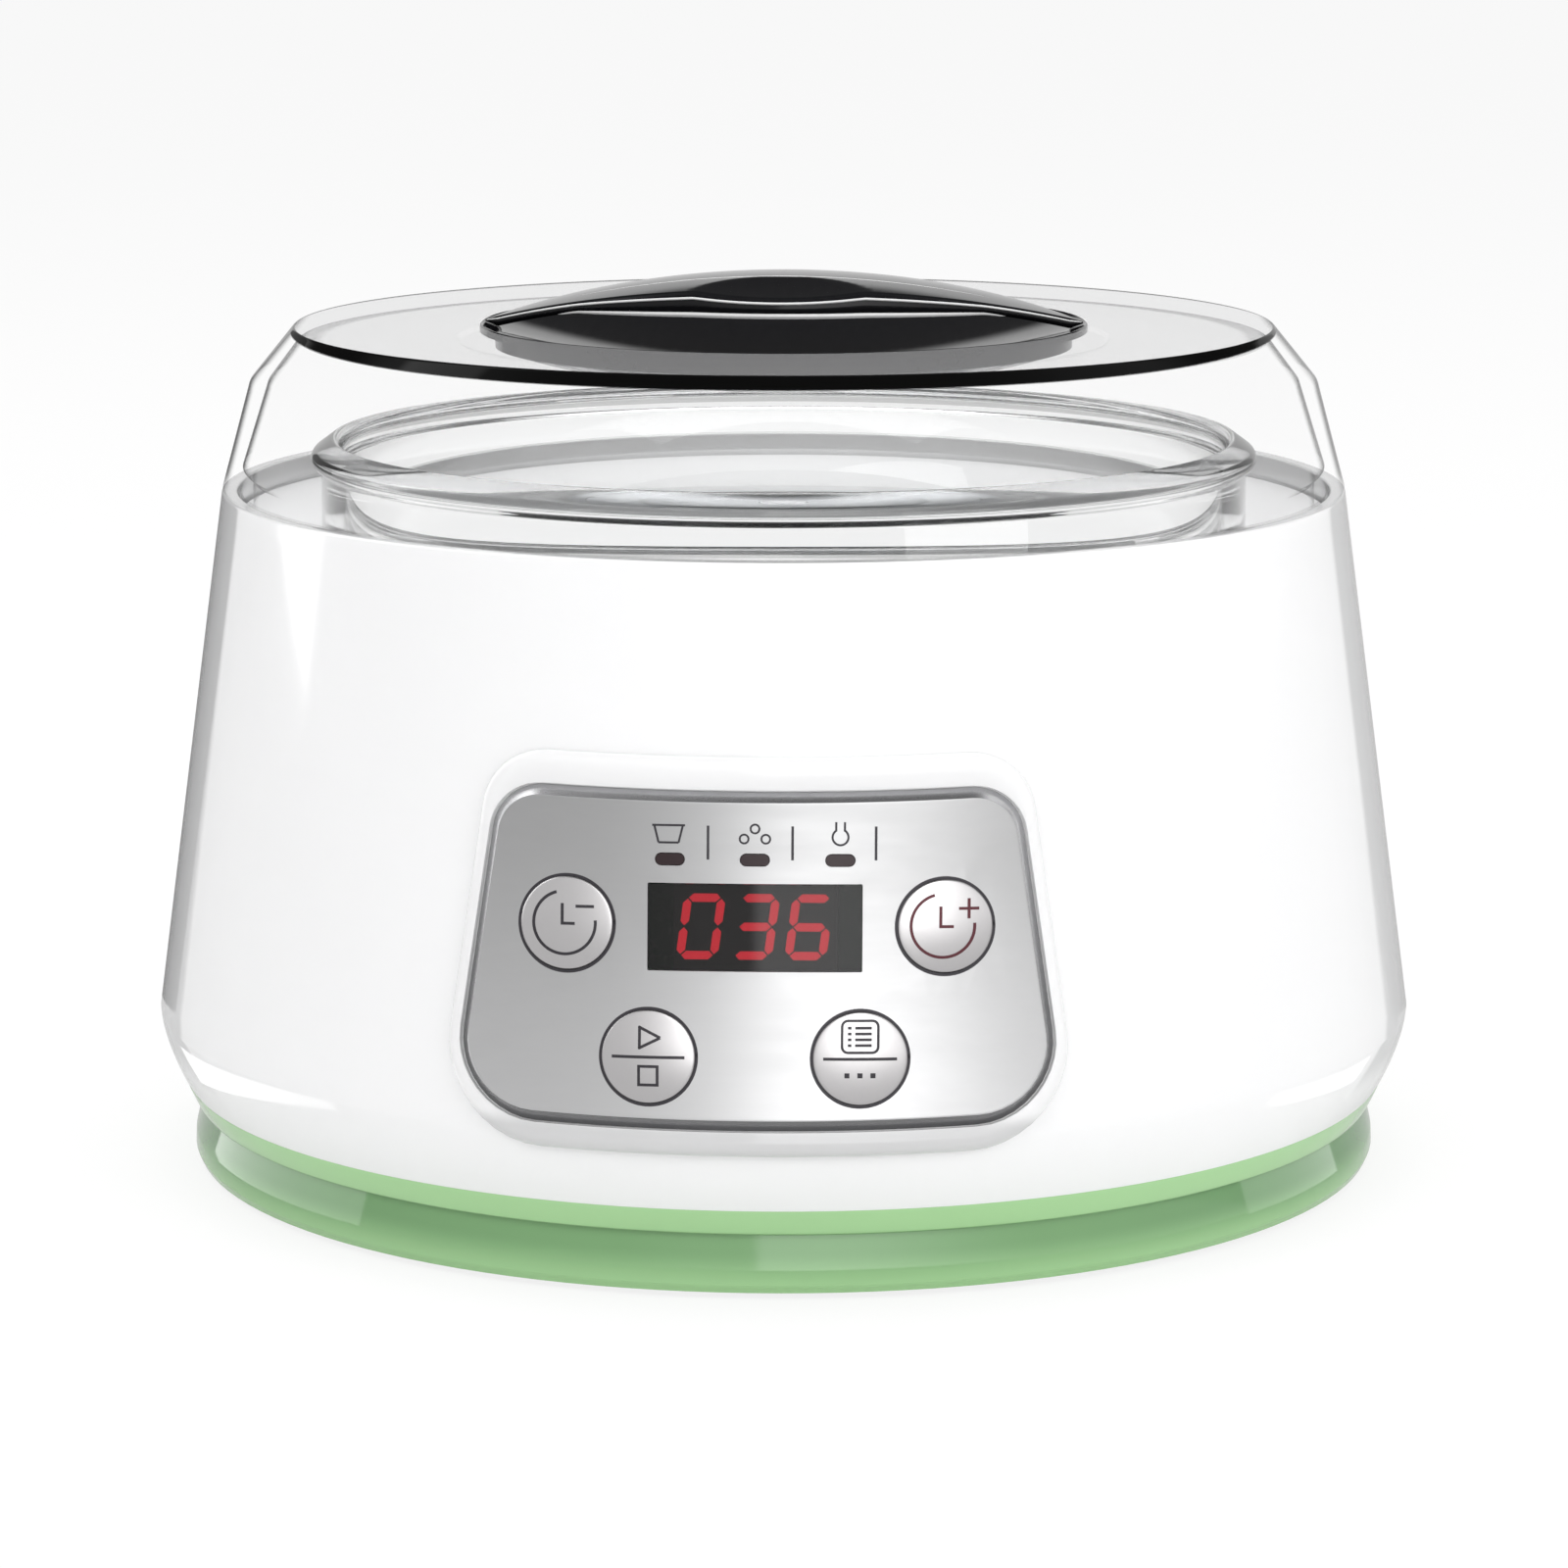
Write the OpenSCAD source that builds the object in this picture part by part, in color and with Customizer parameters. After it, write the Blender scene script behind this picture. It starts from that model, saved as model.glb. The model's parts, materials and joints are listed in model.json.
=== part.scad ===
// Yogurt maker: a glass bowl stands on a warm plate in a moulded casing,
// under a clear lid, with a curved control panel in front.
// Millimetres. The rubber feet stand on z = 0 and the panel faces -Y.

/* [Casing] */
// Radius of the casing at its widest line
casing_wide_r = 97.1; // [95:0.1:104]
// Height of the widest line above the table
casing_wide_z = 24; // [22:0.5:27]
// Outer radius of the casing's rim
casing_rim_r = 86.1; // [84:0.1:90]
// Height of the casing's rim above the table
casing_rim_z = 103.9; // [98:0.1:115]
// Wall of the casing
casing_wall = 2.4; // [1.8:0.1:2.8]
// How far the casing pulls in between its widest line and the base
casing_tuck = 3.6; // [2:0.1:5]

/* [Base] */
// Height of the seam between the base and the casing
seam_z = 13.4; // [12:0.1:15]
// How far the foot ring lies inside the casing's widest line
foot_ring_in = 5; // [3:0.1:8]
// How far the base's waist lies inside its foot ring
waist_in = 1.3; // [0.5:0.1:3]
// Height of the waist above the table
waist_z = 9.5; // [8:0.1:11]
// Wall of the base
base_wall = 2.2; // [1.8:0.1:2.8]
// Height of the lip that centres the casing on the base
base_lip = 4; // [2:0.5:6]
// How far the rubber feet stand out under the foot ring
foot_gap = 1; // [0.6:0.1:2]
// Radius of one rubber foot
foot_r = 7; // [5:0.5:9]
// Number of radial cooling slots in the floor
vents = 16; // [8:1:20]

/* [Well and bowl] */
// Room behind the control panel, from the casing's side to the bowl's wall
panel_room = 22.5; // [21:0.1:26]
// Depth of the well's mouth below the casing's rim
deck_drop = 9.7; // [8:0.1:12]
// Gap between the bowl's wall and the well
bowl_gap = 1.2; // [0.8:0.1:2]
// Wall of the well
well_wall = 1.6; // [1.4:0.1:2]
// Height of the warm plate's top above the table
plate_z = 34; // [32.5:0.5:38]
// Radius of the warm plate
plate_r = 47.6; // [42:0.1:50]
// How far the bowl stands above the casing's rim
bowl_stand = 7.6; // [4:0.1:10]
// Wall of the glass bowl
bowl_wall = 3; // [2.4:0.1:4]
// Overhang of the bowl's rim bead
bead = 1.5; // [1:0.1:2]
// Rounding between the bowl's wall and its floor
bowl_round = 18; // [12:1:22]

/* [Lid] */
// Height of the lid above the casing's rim
lid_h = 24.8; // [22:0.1:30]
// Height of the lid's shoulder above the casing's rim
lid_shoulder_h = 16.5; // [14:0.1:18]
// Outer radius of the lid's shoulder
lid_shoulder_r = 81.6; // [80.5:0.1:84]
// Radius of the lid's flat top
lid_top_r = 74.8; // [70:0.1:77]
// Wall of the lid
lid_wall = 2.2; // [1.8:0.1:2.8]
// Depth of the lip that centres the lid in the casing
lid_lip = 3; // [2:0.1:3.4]
// Radius of the round dish under the grip
grip_r = 46.5; // [42:0.5:52]
// Depth of the dish
dish_depth = 7.5; // [6:0.1:8.5]
// Height of the grip's crest above the lid's flat top
grip_rise = 7.4; // [6:0.1:9]
// Width of the leaf-shaped grip at its middle
grip_w = 36; // [28:0.5:42]
// Thickness of the grip and of the dish
grip_t = 2.6; // [2:0.1:3]
// Radius of the finger scoop in the grip's front edge
scoop_r = 110; // [80:5:150]
// Depth of the finger scoop
scoop_depth = 1.3; // [0.6:0.1:1.6]

/* [Control panel] */
// Height of the panel's centre line above the table
panel_z = 50; // [49:0.5:56]
// Half width of the metal plate at its centre line
plate_half_w = 39.2; // [37:0.1:42]
// Top edge of the metal plate, above the centre line
plate_top = 22.6; // [21:0.1:24]
// Bottom edge of the metal plate, below the centre line
plate_bottom = 24; // [22:0.1:24.5]
// How much each side widens per millimetre downwards
plate_slant = 0.148; // [0.1:0.002:0.18]
// Thickness of the metal plate, and of the bevel round its edge
plate_t = 1.4; // [1:0.1:1.6]
// Width of the bezel above, beside and below the metal plate
bezel_border = [4.8, 2.3, 3.7];
// Height of the bezel's face above the casing
bezel_rise = 1.5; // [1.2:0.1:2.2]
// Radius of a button
button_r = 6.55; // [6:0.05:7]
// Travel of a button
button_travel = 0.6; // [0.4:0.1:0.8]
// Distance of the time buttons from the middle, and their height
time_button = [26.3, 4.3];
// Distance of the lower buttons from the middle, and their height
mode_button = [14.7, -14];
// Width and height of the display window
window_size = [29.8, 12.2];
// Height of the display above the centre line
window_v = 4.1; // [3:0.1:5]
// Spacing of the three indicator lamps
lamp_pitch = 11.8; // [10:0.1:13]
// Height of the indicator lamps above the centre line
lamp_v = 13.5; // [13:0.1:15]

/* [Hidden] */
$fn = 96;
fit = 0.1;           // gap between fixed pieces
slip = 0.3;          // gap between pieces that move on each other
over = 1;            // how far a cutter runs past what it cuts
screw_r = 1.45;
hole_r = screw_r + fit;

// straight side of the casing
cone_k = (casing_wide_r - casing_rim_r) / (casing_rim_z - casing_wide_z);
cone_a = atan(cone_k);
function side_r(z) = casing_wide_r - (z - casing_wide_z) * cone_k;
function arc(cx, cz, r, a0, a1, n) =
    [for (i = [0:n]) let (a = a0 + (a1 - a0) * i / n) [cx + r * cos(a), cz + r * sin(a)]];

// curve under the widest line, from the seam (t = 0) up to the widest line (t = 1)
seam_r = casing_wide_r - casing_tuck;
tuck_steps = 8;
function tuck_r(t) = casing_wide_r - casing_tuck * pow(1 - t, 1.6);
function tuck_curve(inset) = [for (i = [0:tuck_steps]) let (t = i / tuck_steps)
    [tuck_r(t) - inset, seam_z + t * (casing_wide_z - seam_z)]];

// base
foot_ring_r = casing_wide_r - foot_ring_in;
floor_z = foot_gap + 2;
floor_t = 2.2;
floor_top = floor_z + floor_t;
waist_r = foot_ring_r - waist_in;
post_r = 4;
post_angles = [40, 140, 220, 320];
post_low = floor_top + 6.6;
post_high = post_low + 30;
post_gap = 0.6;                      // gap between a post and the base's wall
post_place = waist_r - base_wall - post_gap - post_r;
web_t = 2;
web_low = casing_wide_z + 1.5;
base_screw_len = 14;
foot_place = casing_wide_r - 21.1;
foot_angles = [45, 135, 225, 315];

// well and bowl
rim_in_r = casing_rim_r - casing_wall;
panel_r = side_r(panel_z);
bowl_r = panel_r - panel_room;
bowl_z = plate_z + slip;
bowl_top = casing_rim_z + bowl_stand;
well_r = bowl_r + bowl_gap;
well_out_r = well_r + well_wall;
well_mouth_z = casing_rim_z - deck_drop;
deck_edge_z = casing_rim_z - lid_lip - 1;
ledge_z = deck_edge_z - 4.5;
ledge_r = rim_in_r - 4;
flange_t = 2;                        // flange of the warm plate
well_floor_z = plate_z - 3.4;        // underside of the well's floor
well_floor_t = 2;
flange_z = well_floor_z - fit - flange_t;
flange_r = plate_r + 6;

// under the warm plate
element_t = 1.5;
element_z = flange_z - fit - element_t;
bracket_t = 1.2;
bracket_z = flange_z - 6.2;
bracket_r = plate_r + 13.4;          // circle of the bracket's screws
sensor_r = 5.4;

// power board
board_t = 1.6;
power_board_size = [64, 44];
power_board_y = 8;
power_board_z = floor_top + 2.8;
power_top = power_board_z + board_t;
power_part_h = bracket_z - power_top - 0.8;   // tallest part that fits under the bracket
transformer_size = [18, 16];
filter_size = [18, 8];
relay_size = [16, 12];
terminal_size = [10, 8, 9];
capacitor_r = 5;
board_hole_in = 3.2;
lead_r = 0.9;

// control panel: local frame with x across, y up the side, z outwards
pocket_n = bezel_rise - 0.8;
metal_n = pocket_n + fit;
metal_face_n = metal_n + plate_t;
backing_n = -2;
control_board_size = [66, 38];
control_board_v = -1;
lead_len = 1.4;
control_back = -(panel_r - (control_board_v + control_board_size[1] / 2) * sin(cone_a)
    - well_out_r - lead_len - 0.8) / cos(cone_a);
control_front = control_back + board_t;
switch_size = 6;
switch_h = 3.1;
actuator_r = 1.7;
actuator_h = 1.2;
actuator_in = 0.9;
flange_gap = 0.25;
button_flange_t = 1.2;
button_dome = 30;
ribbon_size = [7, 0.8];
ribbon_in = 9;                       // from the control board's end to the ribbon
display_size = [22.6, 14, 7.1];
display_front = metal_n - 1.1;
digit_size = [5.8, 9.14];
digit_pitch = 7.5;
digit_slant = 7.5;
stroke = 1.15;
lamp_size = [4, 1.6];
board_holes = [for (x = [-1, 1], v = [-1, 1])
    [x * (control_board_size[0] / 2 - board_hole_in),
     control_board_v + v * (control_board_size[1] / 2 - board_hole_in)]];
buttons = [[-time_button[0], time_button[1]], time_button,
           [-mode_button[0], mode_button[1]], mode_button];

// mains gland at the back
gland_z = 33;
gland_bore_r = 3.3;
gland_r = 6;
gland_flange_r = 8;

white = [0.95, 0.95, 0.95];
green = [0.6, 0.8, 0.55];
metal = [0.75, 0.76, 0.78];
black = [0.06, 0.06, 0.07];
clear = [0.85, 0.9, 0.92, 0.35];

// ---- shared shapes ----------------------------------------------------------

// pieces placed around the axis
module around(angles, r) {
    for (a = angles) rotate([0, 0, a]) translate([r, 0, 0]) children();
}

// ring between two radii
module ring(r_out, r_in, h) {
    difference() {
        cylinder(r = r_out, h = h);
        translate([0, 0, -over]) cylinder(r = r_in, h = h + 2 * over);
    }
}

// pan-head screw, head downwards at z = 0, shank upwards
module screw(length, head_r = 2.6, head_t = 1.6) {
    cylinder(r = head_r, h = head_t);
    cylinder(r = screw_r, h = length);
}

// solid bounded by the casing's straight side, moved out by n
module cone_core(n, longer = 0) {
    low = seam_z - 5 - longer;
    high = casing_rim_z + longer;
    rotate_extrude() polygon([[0, low], [side_r(low) + n / cos(cone_a), low],
        [side_r(high) + n / cos(cone_a), high], [0, high]]);
}

// layer between two offsets of the casing's straight side
module cone_layer(n0, n1) {
    difference() {
        cone_core(n1);
        cone_core(n0, over);
    }
}

// wire of radius r along a list of points, with round bends
module wire(points, r) {
    for (i = [0:len(points) - 2]) {
        d = points[i + 1] - points[i];
        translate(points[i])
            rotate([0, acos(d[2] / norm(d)), atan2(d[1], d[0])])
                cylinder(r = r, h = norm(d), $fn = 24);
        if (i > 0) translate(points[i]) sphere(r = 1.06 * r, $fn = 24);
    }
}

// ---- panel outline ------------------------------------------------------------

corner_steps = 8;
edge_steps = 12;
function reversed(l) = [for (i = [len(l) - 1:-1:0]) l[i]];
function edge(x0, x1, z) = [for (i = [1:edge_steps - 1]) [x0 + (x1 - x0) * i / edge_steps, z]];

// centre of a corner arc of radius r at height z, touching the slanted side
function corner_x(half_w, z, r) = half_w - plate_slant * z - r * sqrt(1 + plate_slant * plate_slant);

// rounded trapezoid, counter-clockwise: [x, height over the centre line]
function rounded_outline(half_w, top, bottom, r_top, r_bottom) =
    let (side = atan(plate_slant),
         right = concat(
            arc(corner_x(half_w, r_bottom - bottom, r_bottom), r_bottom - bottom, r_bottom,
                -90, side, corner_steps),
            arc(corner_x(half_w, top - r_top, r_top), top - r_top, r_top, side, 90, corner_steps)),
         left = reversed([for (p = right) [-p[0], p[1]]]),
         n = len(right) - 1)
    concat(right, edge(right[n][0], left[0][0], top), left,
           edge(left[n][0], right[0][0], -bottom));

// outline of the metal plate, pulled in by d
function metal_outline(d) = rounded_outline(plate_half_w - d, plate_top - d, plate_bottom - d,
    7.5 - d, 10.5 - d);

// outline of the bezel, pulled in by d
function bezel_outline(d) = rounded_outline(plate_half_w + bezel_border[1] - d,
    plate_top + bezel_border[0] - d, plate_bottom + bezel_border[2] - d, 9.5 - d, 13.5 - d);

// point of an outline, carried to the casing's side and out by n
function on_side(p, n) =
    let (z = panel_z + p[1], r = side_r(z), a = asin(p[0] / r), rn = r + n * cos(cone_a))
    [rn * sin(a), -rn * cos(a), z + n * sin(cone_a)];

// solid whose wall runs through outline a at offset n0 and outline b at offset n1
module panel_pad(a, n0, b, n1) {
    count = len(a);
    low = -over / (n1 - n0);
    high = 1 + over / (n1 - n0);
    inner = [for (i = [0:count - 1]) on_side(a[i] + (b[i] - a[i]) * low, n0 - over)];
    outer = [for (i = [0:count - 1]) on_side(a[i] + (b[i] - a[i]) * high, n1 + over)];
    tips = [[0, -(panel_r - 20), panel_z], [0, -(panel_r + n1 + 13), panel_z]];
    polyhedron(
        points = concat(inner, outer, tips),
        faces = [for (i = [0:count - 1]) let (j = (i + 1) % count)
            each [[count + i, count + j, j], [count + i, j, i],
                  [2 * count, i, j], [2 * count + 1, count + j, count + i]]]
    );
}

// children drawn in the panel's own frame
module in_panel() {
    translate([0, -panel_r, panel_z]) rotate([90 - cone_a, 0, 0]) children();
}

// bar through the panel, from z = -depth outwards
module through(size, depth = 20, reach = 8) {
    translate([-size[0] / 2, -size[1] / 2, -depth]) cube([size[0], size[1], depth + reach]);
}

// pill-shaped bar of the indicator lamps
module pill(size, depth, reach) {
    r = size[1] / 2;
    through([size[0] - size[1], size[1]], depth, reach);
    for (s = [-1, 1]) translate([s * (size[0] / 2 - r), 0, -depth]) cylinder(r = r, h = depth + reach);
}

module lamp_places() {
    for (i = [-1:1]) translate([i * lamp_pitch, lamp_v, 0]) children();
}

// ---- base -----------------------------------------------------------------------

module base_tray() color(green) difference() {
    union() {
        // outer wall: foot ring, waist, flare up to the seam, lip inside the casing
        rotate_extrude() polygon(concat(
            [[foot_ring_r - 0.5, foot_gap], [foot_ring_r, foot_gap + 1.2],
             [foot_ring_r - 0.25, foot_gap + 3.2], [waist_r + 0.3, waist_z - 2], [waist_r, waist_z]],
            [for (i = [1:5]) let (t = i / 5)
                [waist_r + (seam_r - waist_r) * pow(t, 0.8), waist_z + (seam_z - waist_z) * t]],
            [[seam_r - casing_wall - fit, seam_z], [seam_r - casing_wall - fit, seam_z + base_lip],
             [seam_r - casing_wall - fit - base_wall, seam_z + base_lip],
             [waist_r - base_wall, waist_z], [waist_r - base_wall, floor_z],
             [foot_ring_r - base_wall - 0.6, foot_gap]]));
        // floor
        translate([0, 0, floor_z]) cylinder(r = waist_r - base_wall + fit, h = floor_t);
        // sockets for the rubber feet
        around(foot_angles, foot_place) translate([0, 0, foot_gap + 0.2])
            cylinder(r = foot_r + 2, h = floor_z - foot_gap);
        // sleeves under the casing's posts
        around(post_angles, post_place) translate([0, 0, foot_gap + 0.5])
            cylinder(r = post_r + 0.8, h = post_low - fit - foot_gap - 0.5);
        // posts for the power board
        power_board_places() translate([0, 0, floor_top - fit])
            cylinder(r = 3.2, h = power_board_z - floor_top);
    }
    // rubber feet
    around(foot_angles, foot_place) translate([0, 0, -over])
        cylinder(r = foot_r + fit, h = floor_z + over);
    // casing screws: head recess and shank
    around(post_angles, post_place) {
        translate([0, 0, -over]) cylinder(r = 3, h = floor_z + 2.4 + over);
        cylinder(r = hole_r + 0.2, h = post_low + over);
    }
    // power board screws
    power_board_places() translate([0, 0, floor_top]) cylinder(r = hole_r, h = power_board_z);
    // cooling slots
    around([for (i = [0:vents - 1]) 360 * (i + 0.5) / vents], 46)
        translate([-9, -1.25, floor_z - over]) cube([18, 2.5, floor_t + 2 * over]);
}

module rubber_feet() color([0.16, 0.16, 0.17]) around(foot_angles, foot_place) {
    rotate_extrude() polygon([[0, 0], [foot_r - 0.8, 0], [foot_r, 0.6], [foot_r, floor_z - fit],
        [0, floor_z - fit]]);
}

module base_screws() color(metal) around(post_angles, post_place)
    translate([0, 0, floor_z + 2.4 - fit - 1.6]) screw(base_screw_len);

// ---- casing ---------------------------------------------------------------------

// how far a post's web reaches, from the post's axis into the wall
function web_reach(z) = side_r(z) - casing_wall / 2 - post_place;

module outer_casing() color(white) difference() {
    union() {
        rotate_extrude() polygon(concat(
            tuck_curve(0),
            [[casing_rim_r + 0.07, casing_rim_z - 0.5], [casing_rim_r - 0.4, casing_rim_z],
             [rim_in_r, casing_rim_z], [side_r(ledge_z) - casing_wall, ledge_z],
             [ledge_r, ledge_z], [ledge_r, ledge_z - 1.6],
             [side_r(ledge_z - 5) - casing_wall, ledge_z - 5]],
            reversed(tuck_curve(casing_wall))));
        // screw posts, webbed to the wall
        around(post_angles, post_place) {
            translate([0, 0, post_low]) cylinder(r = post_r, h = post_high - post_low);
            translate([0, web_t / 2, 0]) rotate([90, 0, 0]) linear_extrude(height = web_t) polygon([
                [0, web_low], [web_reach(web_low), web_low],
                [web_reach(post_high), post_high], [0, post_high]]);
        }
    }
    // opening for the control panel
    panel_pad(bezel_outline(1.5), -casing_wall, bezel_outline(1.5), 0);
    // screw holes
    around(post_angles, post_place) translate([0, 0, post_low - over])
        cylinder(r = hole_r, h = base_screw_len);
    // mains gland
    translate([0, 0, gland_z]) rotate([-90, 0, 0]) cylinder(r = gland_r + fit, h = 2 * casing_wide_r);
}

module cord_gland() color(white) {
    back = side_r(gland_z);
    reach = panel_reach;
    difference() {
        union() {
            // flange outside, on the casing
            difference() {
                translate([0, 0, gland_z]) rotate([-90, 0, 0]) cylinder(r = gland_flange_r, h = reach);
                cone_core(fit);
            }
            // bush through the wall
            translate([0, back - casing_wall - 6, gland_z]) rotate([-90, 0, 0])
                cylinder(r = gland_r, h = reach - back + casing_wall + 6 - 0.5);
            // nut inside the wall
            intersection() {
                translate([0, back - casing_wall - 5, gland_z]) rotate([-90, 0, 0])
                    cylinder(r = gland_flange_r, h = 10);
                cone_core(-casing_wall - fit);
            }
        }
        translate([0, 0, gland_z]) rotate([-90, 0, 0]) cylinder(r = gland_bore_r, h = reach + over);
    }
}

// ---- well and warm plate --------------------------------------------------------------

deck_steps = 8;
function deck_point(t) = [well_r + 1 + (rim_in_r - fit - well_r - 1) * t,
    well_mouth_z + (deck_edge_z - well_mouth_z) * pow(t, 1.5)];

module inner_well() color(white) difference() {
    union() {
        rotate_extrude() polygon(concat(
            [[plate_r + 2 * fit, well_floor_z], [well_out_r - 4, well_floor_z]],
            arc(well_out_r - 4, well_floor_z + 4, 4, -90, 0, 5),
            [[well_out_r, well_mouth_z - 2], [ledge_r - fit, ledge_z + 0.2 - fit],
             [ledge_r - fit, ledge_z + fit], [rim_in_r - fit, ledge_z + fit]],
            [for (i = [deck_steps:-1:0]) deck_point(i / deck_steps)],
            [[well_r, well_mouth_z - 1]],
            arc(well_r - 3, well_floor_z + well_floor_t + 3, 3, 0, -90, 5),
            [[plate_r + 2 * fit, well_floor_z + well_floor_t]]));
        // posts that carry the bracket
        around([0, 120, 240], bracket_r) translate([0, 0, bracket_z + bracket_t + fit])
            cylinder(r = 3.4, h = well_floor_z - bracket_z - bracket_t);
    }
    around([0, 120, 240], bracket_r) translate([0, 0, bracket_z])
        cylinder(r = hole_r, h = well_floor_z - bracket_z);
}

module heater_plate() color(metal) difference() {
    rotate_extrude() polygon([[0, flange_z], [flange_r, flange_z], [flange_r, flange_z + flange_t],
        [plate_r, flange_z + flange_t], [plate_r, plate_z - 0.6], [plate_r - 0.6, plate_z], [0, plate_z]]);
    translate([0, 0, flange_z - over]) cylinder(r = sensor_r + slip, h = plate_z);
}

module heater_element() color([0.55, 0.4, 0.25]) translate([0, 0, element_z])
    ring(plate_r - 9, sensor_r + 3, element_t);

module heater_bracket() color(metal) difference() {
    union() {
        translate([0, 0, bracket_z]) ring(plate_r + 2, plate_r - 4, bracket_t);
        // rim that presses on the warm plate's flange
        translate([0, 0, bracket_z]) ring(plate_r + 2, plate_r + 0.8, flange_z - fit - bracket_z);
        // arms to the well's posts
        around([0, 120, 240], 0) translate([plate_r + 1, -5, bracket_z])
            cube([bracket_r - plate_r + 3, 10, bracket_t]);
        // bridge that carries the sensor
        translate([-plate_r + 2, -5, bracket_z]) cube([2 * plate_r - 4, 10, bracket_t]);
    }
    around([0, 120, 240], bracket_r) translate([0, 0, bracket_z - over])
        cylinder(r = hole_r, h = bracket_t + 2 * over);
    translate([0, 0, bracket_z - over]) cylinder(r = sensor_r - 2, h = bracket_t + 2 * over);
}

module bracket_screws() color(metal) around([0, 120, 240], bracket_r)
    translate([0, 0, bracket_z - 1.6 - fit]) screw(7.5);

module temperature_sensor() color([0.82, 0.83, 0.84]) {
    translate([0, 0, bracket_z + bracket_t + fit])
        cylinder(r = sensor_r, h = plate_z + 0.1 - bracket_z - bracket_t - fit);
    translate([0, 0, bracket_z - 1.5]) cylinder(r = sensor_r - 2 - fit, h = bracket_t + 2);
}

module thermal_fuse() color([0.85, 0.85, 0.8]) {
    translate([26, -6, bracket_z + bracket_t + 1.8]) rotate([-90, 0, 0]) cylinder(r = 1.6, h = 12);
    translate([26, -11, bracket_z + bracket_t + 1.8]) rotate([-90, 0, 0]) cylinder(r = 0.5, h = 22);
}

// ---- power board ------------------------------------------------------------------------

module power_board_places() {
    for (x = [-1, 1], y = [-1, 1]) translate([x * (power_board_size[0] / 2 - board_hole_in),
        power_board_y + y * (power_board_size[1] / 2 - board_hole_in), 0]) children();
}

module power_board() color([0.1, 0.42, 0.22]) difference() {
    translate([-power_board_size[0] / 2, power_board_y - power_board_size[1] / 2, power_board_z])
        cube([power_board_size[0], power_board_size[1], board_t]);
    power_board_places() cylinder(r = hole_r, h = power_top + over);
}

module power_board_screws() color(metal) power_board_places()
    translate([0, 0, power_top + fit + 1.6]) mirror([0, 0, 1]) screw(5.8);

module power_transformer() color([0.85, 0.72, 0.2]) translate([-17, power_board_y - 3, power_top + fit]) {
    w = transformer_size[0];
    d = transformer_size[1];
    translate([-w / 2, -d / 2, 0]) cube([w, d, 2]);
    translate([1.5 - w / 2, -d / 2, 2]) cube([w - 3, d, power_part_h - 3]);
    translate([-w / 2, -d / 4, 1.5]) cube([w, d / 2, power_part_h - 1.5]);
}

module filter_capacitor() color([0.8, 0.65, 0.15]) translate([-1, power_board_y + 14, power_top + fit])
    translate(-filter_size / 2) cube([filter_size[0], filter_size[1], power_part_h - 1]);

module smoothing_capacitor() color([0.12, 0.14, 0.3]) translate([6, power_board_y - 16, power_top + fit])
    rotate_extrude() polygon([[0, 0], [capacitor_r, 0], [capacitor_r, 1.2], [capacitor_r - 0.4, 1.6],
        [capacitor_r, 2], [capacitor_r, power_part_h - 0.5], [capacitor_r - 0.6, power_part_h],
        [0, power_part_h]]);

module power_relay() color([0.12, 0.3, 0.6]) translate([19, power_board_y - 3, power_top + fit])
    translate(-relay_size / 2) cube([relay_size[0], relay_size[1], power_part_h - 0.5]);

module mains_terminal() color([0.2, 0.5, 0.3]) translate([19, power_board_y + 13, power_top + fit])
    difference() {
        translate([-terminal_size[0] / 2, -terminal_size[1] / 2, 0]) cube(terminal_size);
        for (x = [-2.5, 2.5]) translate([x, 0, 5]) rotate([-90, 0, 0]) cylinder(r = 1.4, h = 5);
    }

// ---- internal leads ------------------------------------------------------------------

module heater_leads() color([0.75, 0.2, 0.15]) for (s = [-1, 1])
    wire([[24 + 4 * s, power_board_y - 14, power_top + fit], [24 + 4 * s, power_board_y - 14, power_top + 6],
          [22 + 4 * s, -21, element_z - lead_r]], lead_r);

module sensor_lead() color([0.15, 0.15, 0.15])
    wire([[0, 0, bracket_z - 1.6], [0, 0, bracket_z - 3], [-8, -9, power_top + lead_r]], lead_r);

// flat cable from the power board, under the well and up to the control board
module ribbon_cable() color([0.8, 0.8, 0.82]) {
    run = power_top + 4;
    start = power_board_y - power_board_size[1] / 2 + 4;
    end = ribbon_end[1];
    t = ribbon_size[1];
    translate([ribbon_in - control_board_size[0] / 2, 0, 0]) rotate([90, 0, 90])
        linear_extrude(height = ribbon_size[0]) polygon([[start, power_top + fit],
            [start + t, power_top + fit], [start + t, run + t], [end + t, run + t],
            [end + t, ribbon_end[2]], [end, ribbon_end[2]], [end, run], [start, run]]);
}

// ---- control panel ---------------------------------------------------------------------

// outermost reach of the panel in front, which the gland matches at the back
panel_reach = side_r(panel_z - plate_bottom) + metal_face_n / cos(cone_a) - 0.1;

// where the ribbon cable ends, under the control board
ribbon_end = let (v = control_board_v - control_board_size[1] / 2 - 0.8, w = control_back + 0.8)
    [0, -panel_r - w * cos(cone_a) + v * sin(cone_a), panel_z + v * cos(cone_a) + w * sin(cone_a)];

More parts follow.
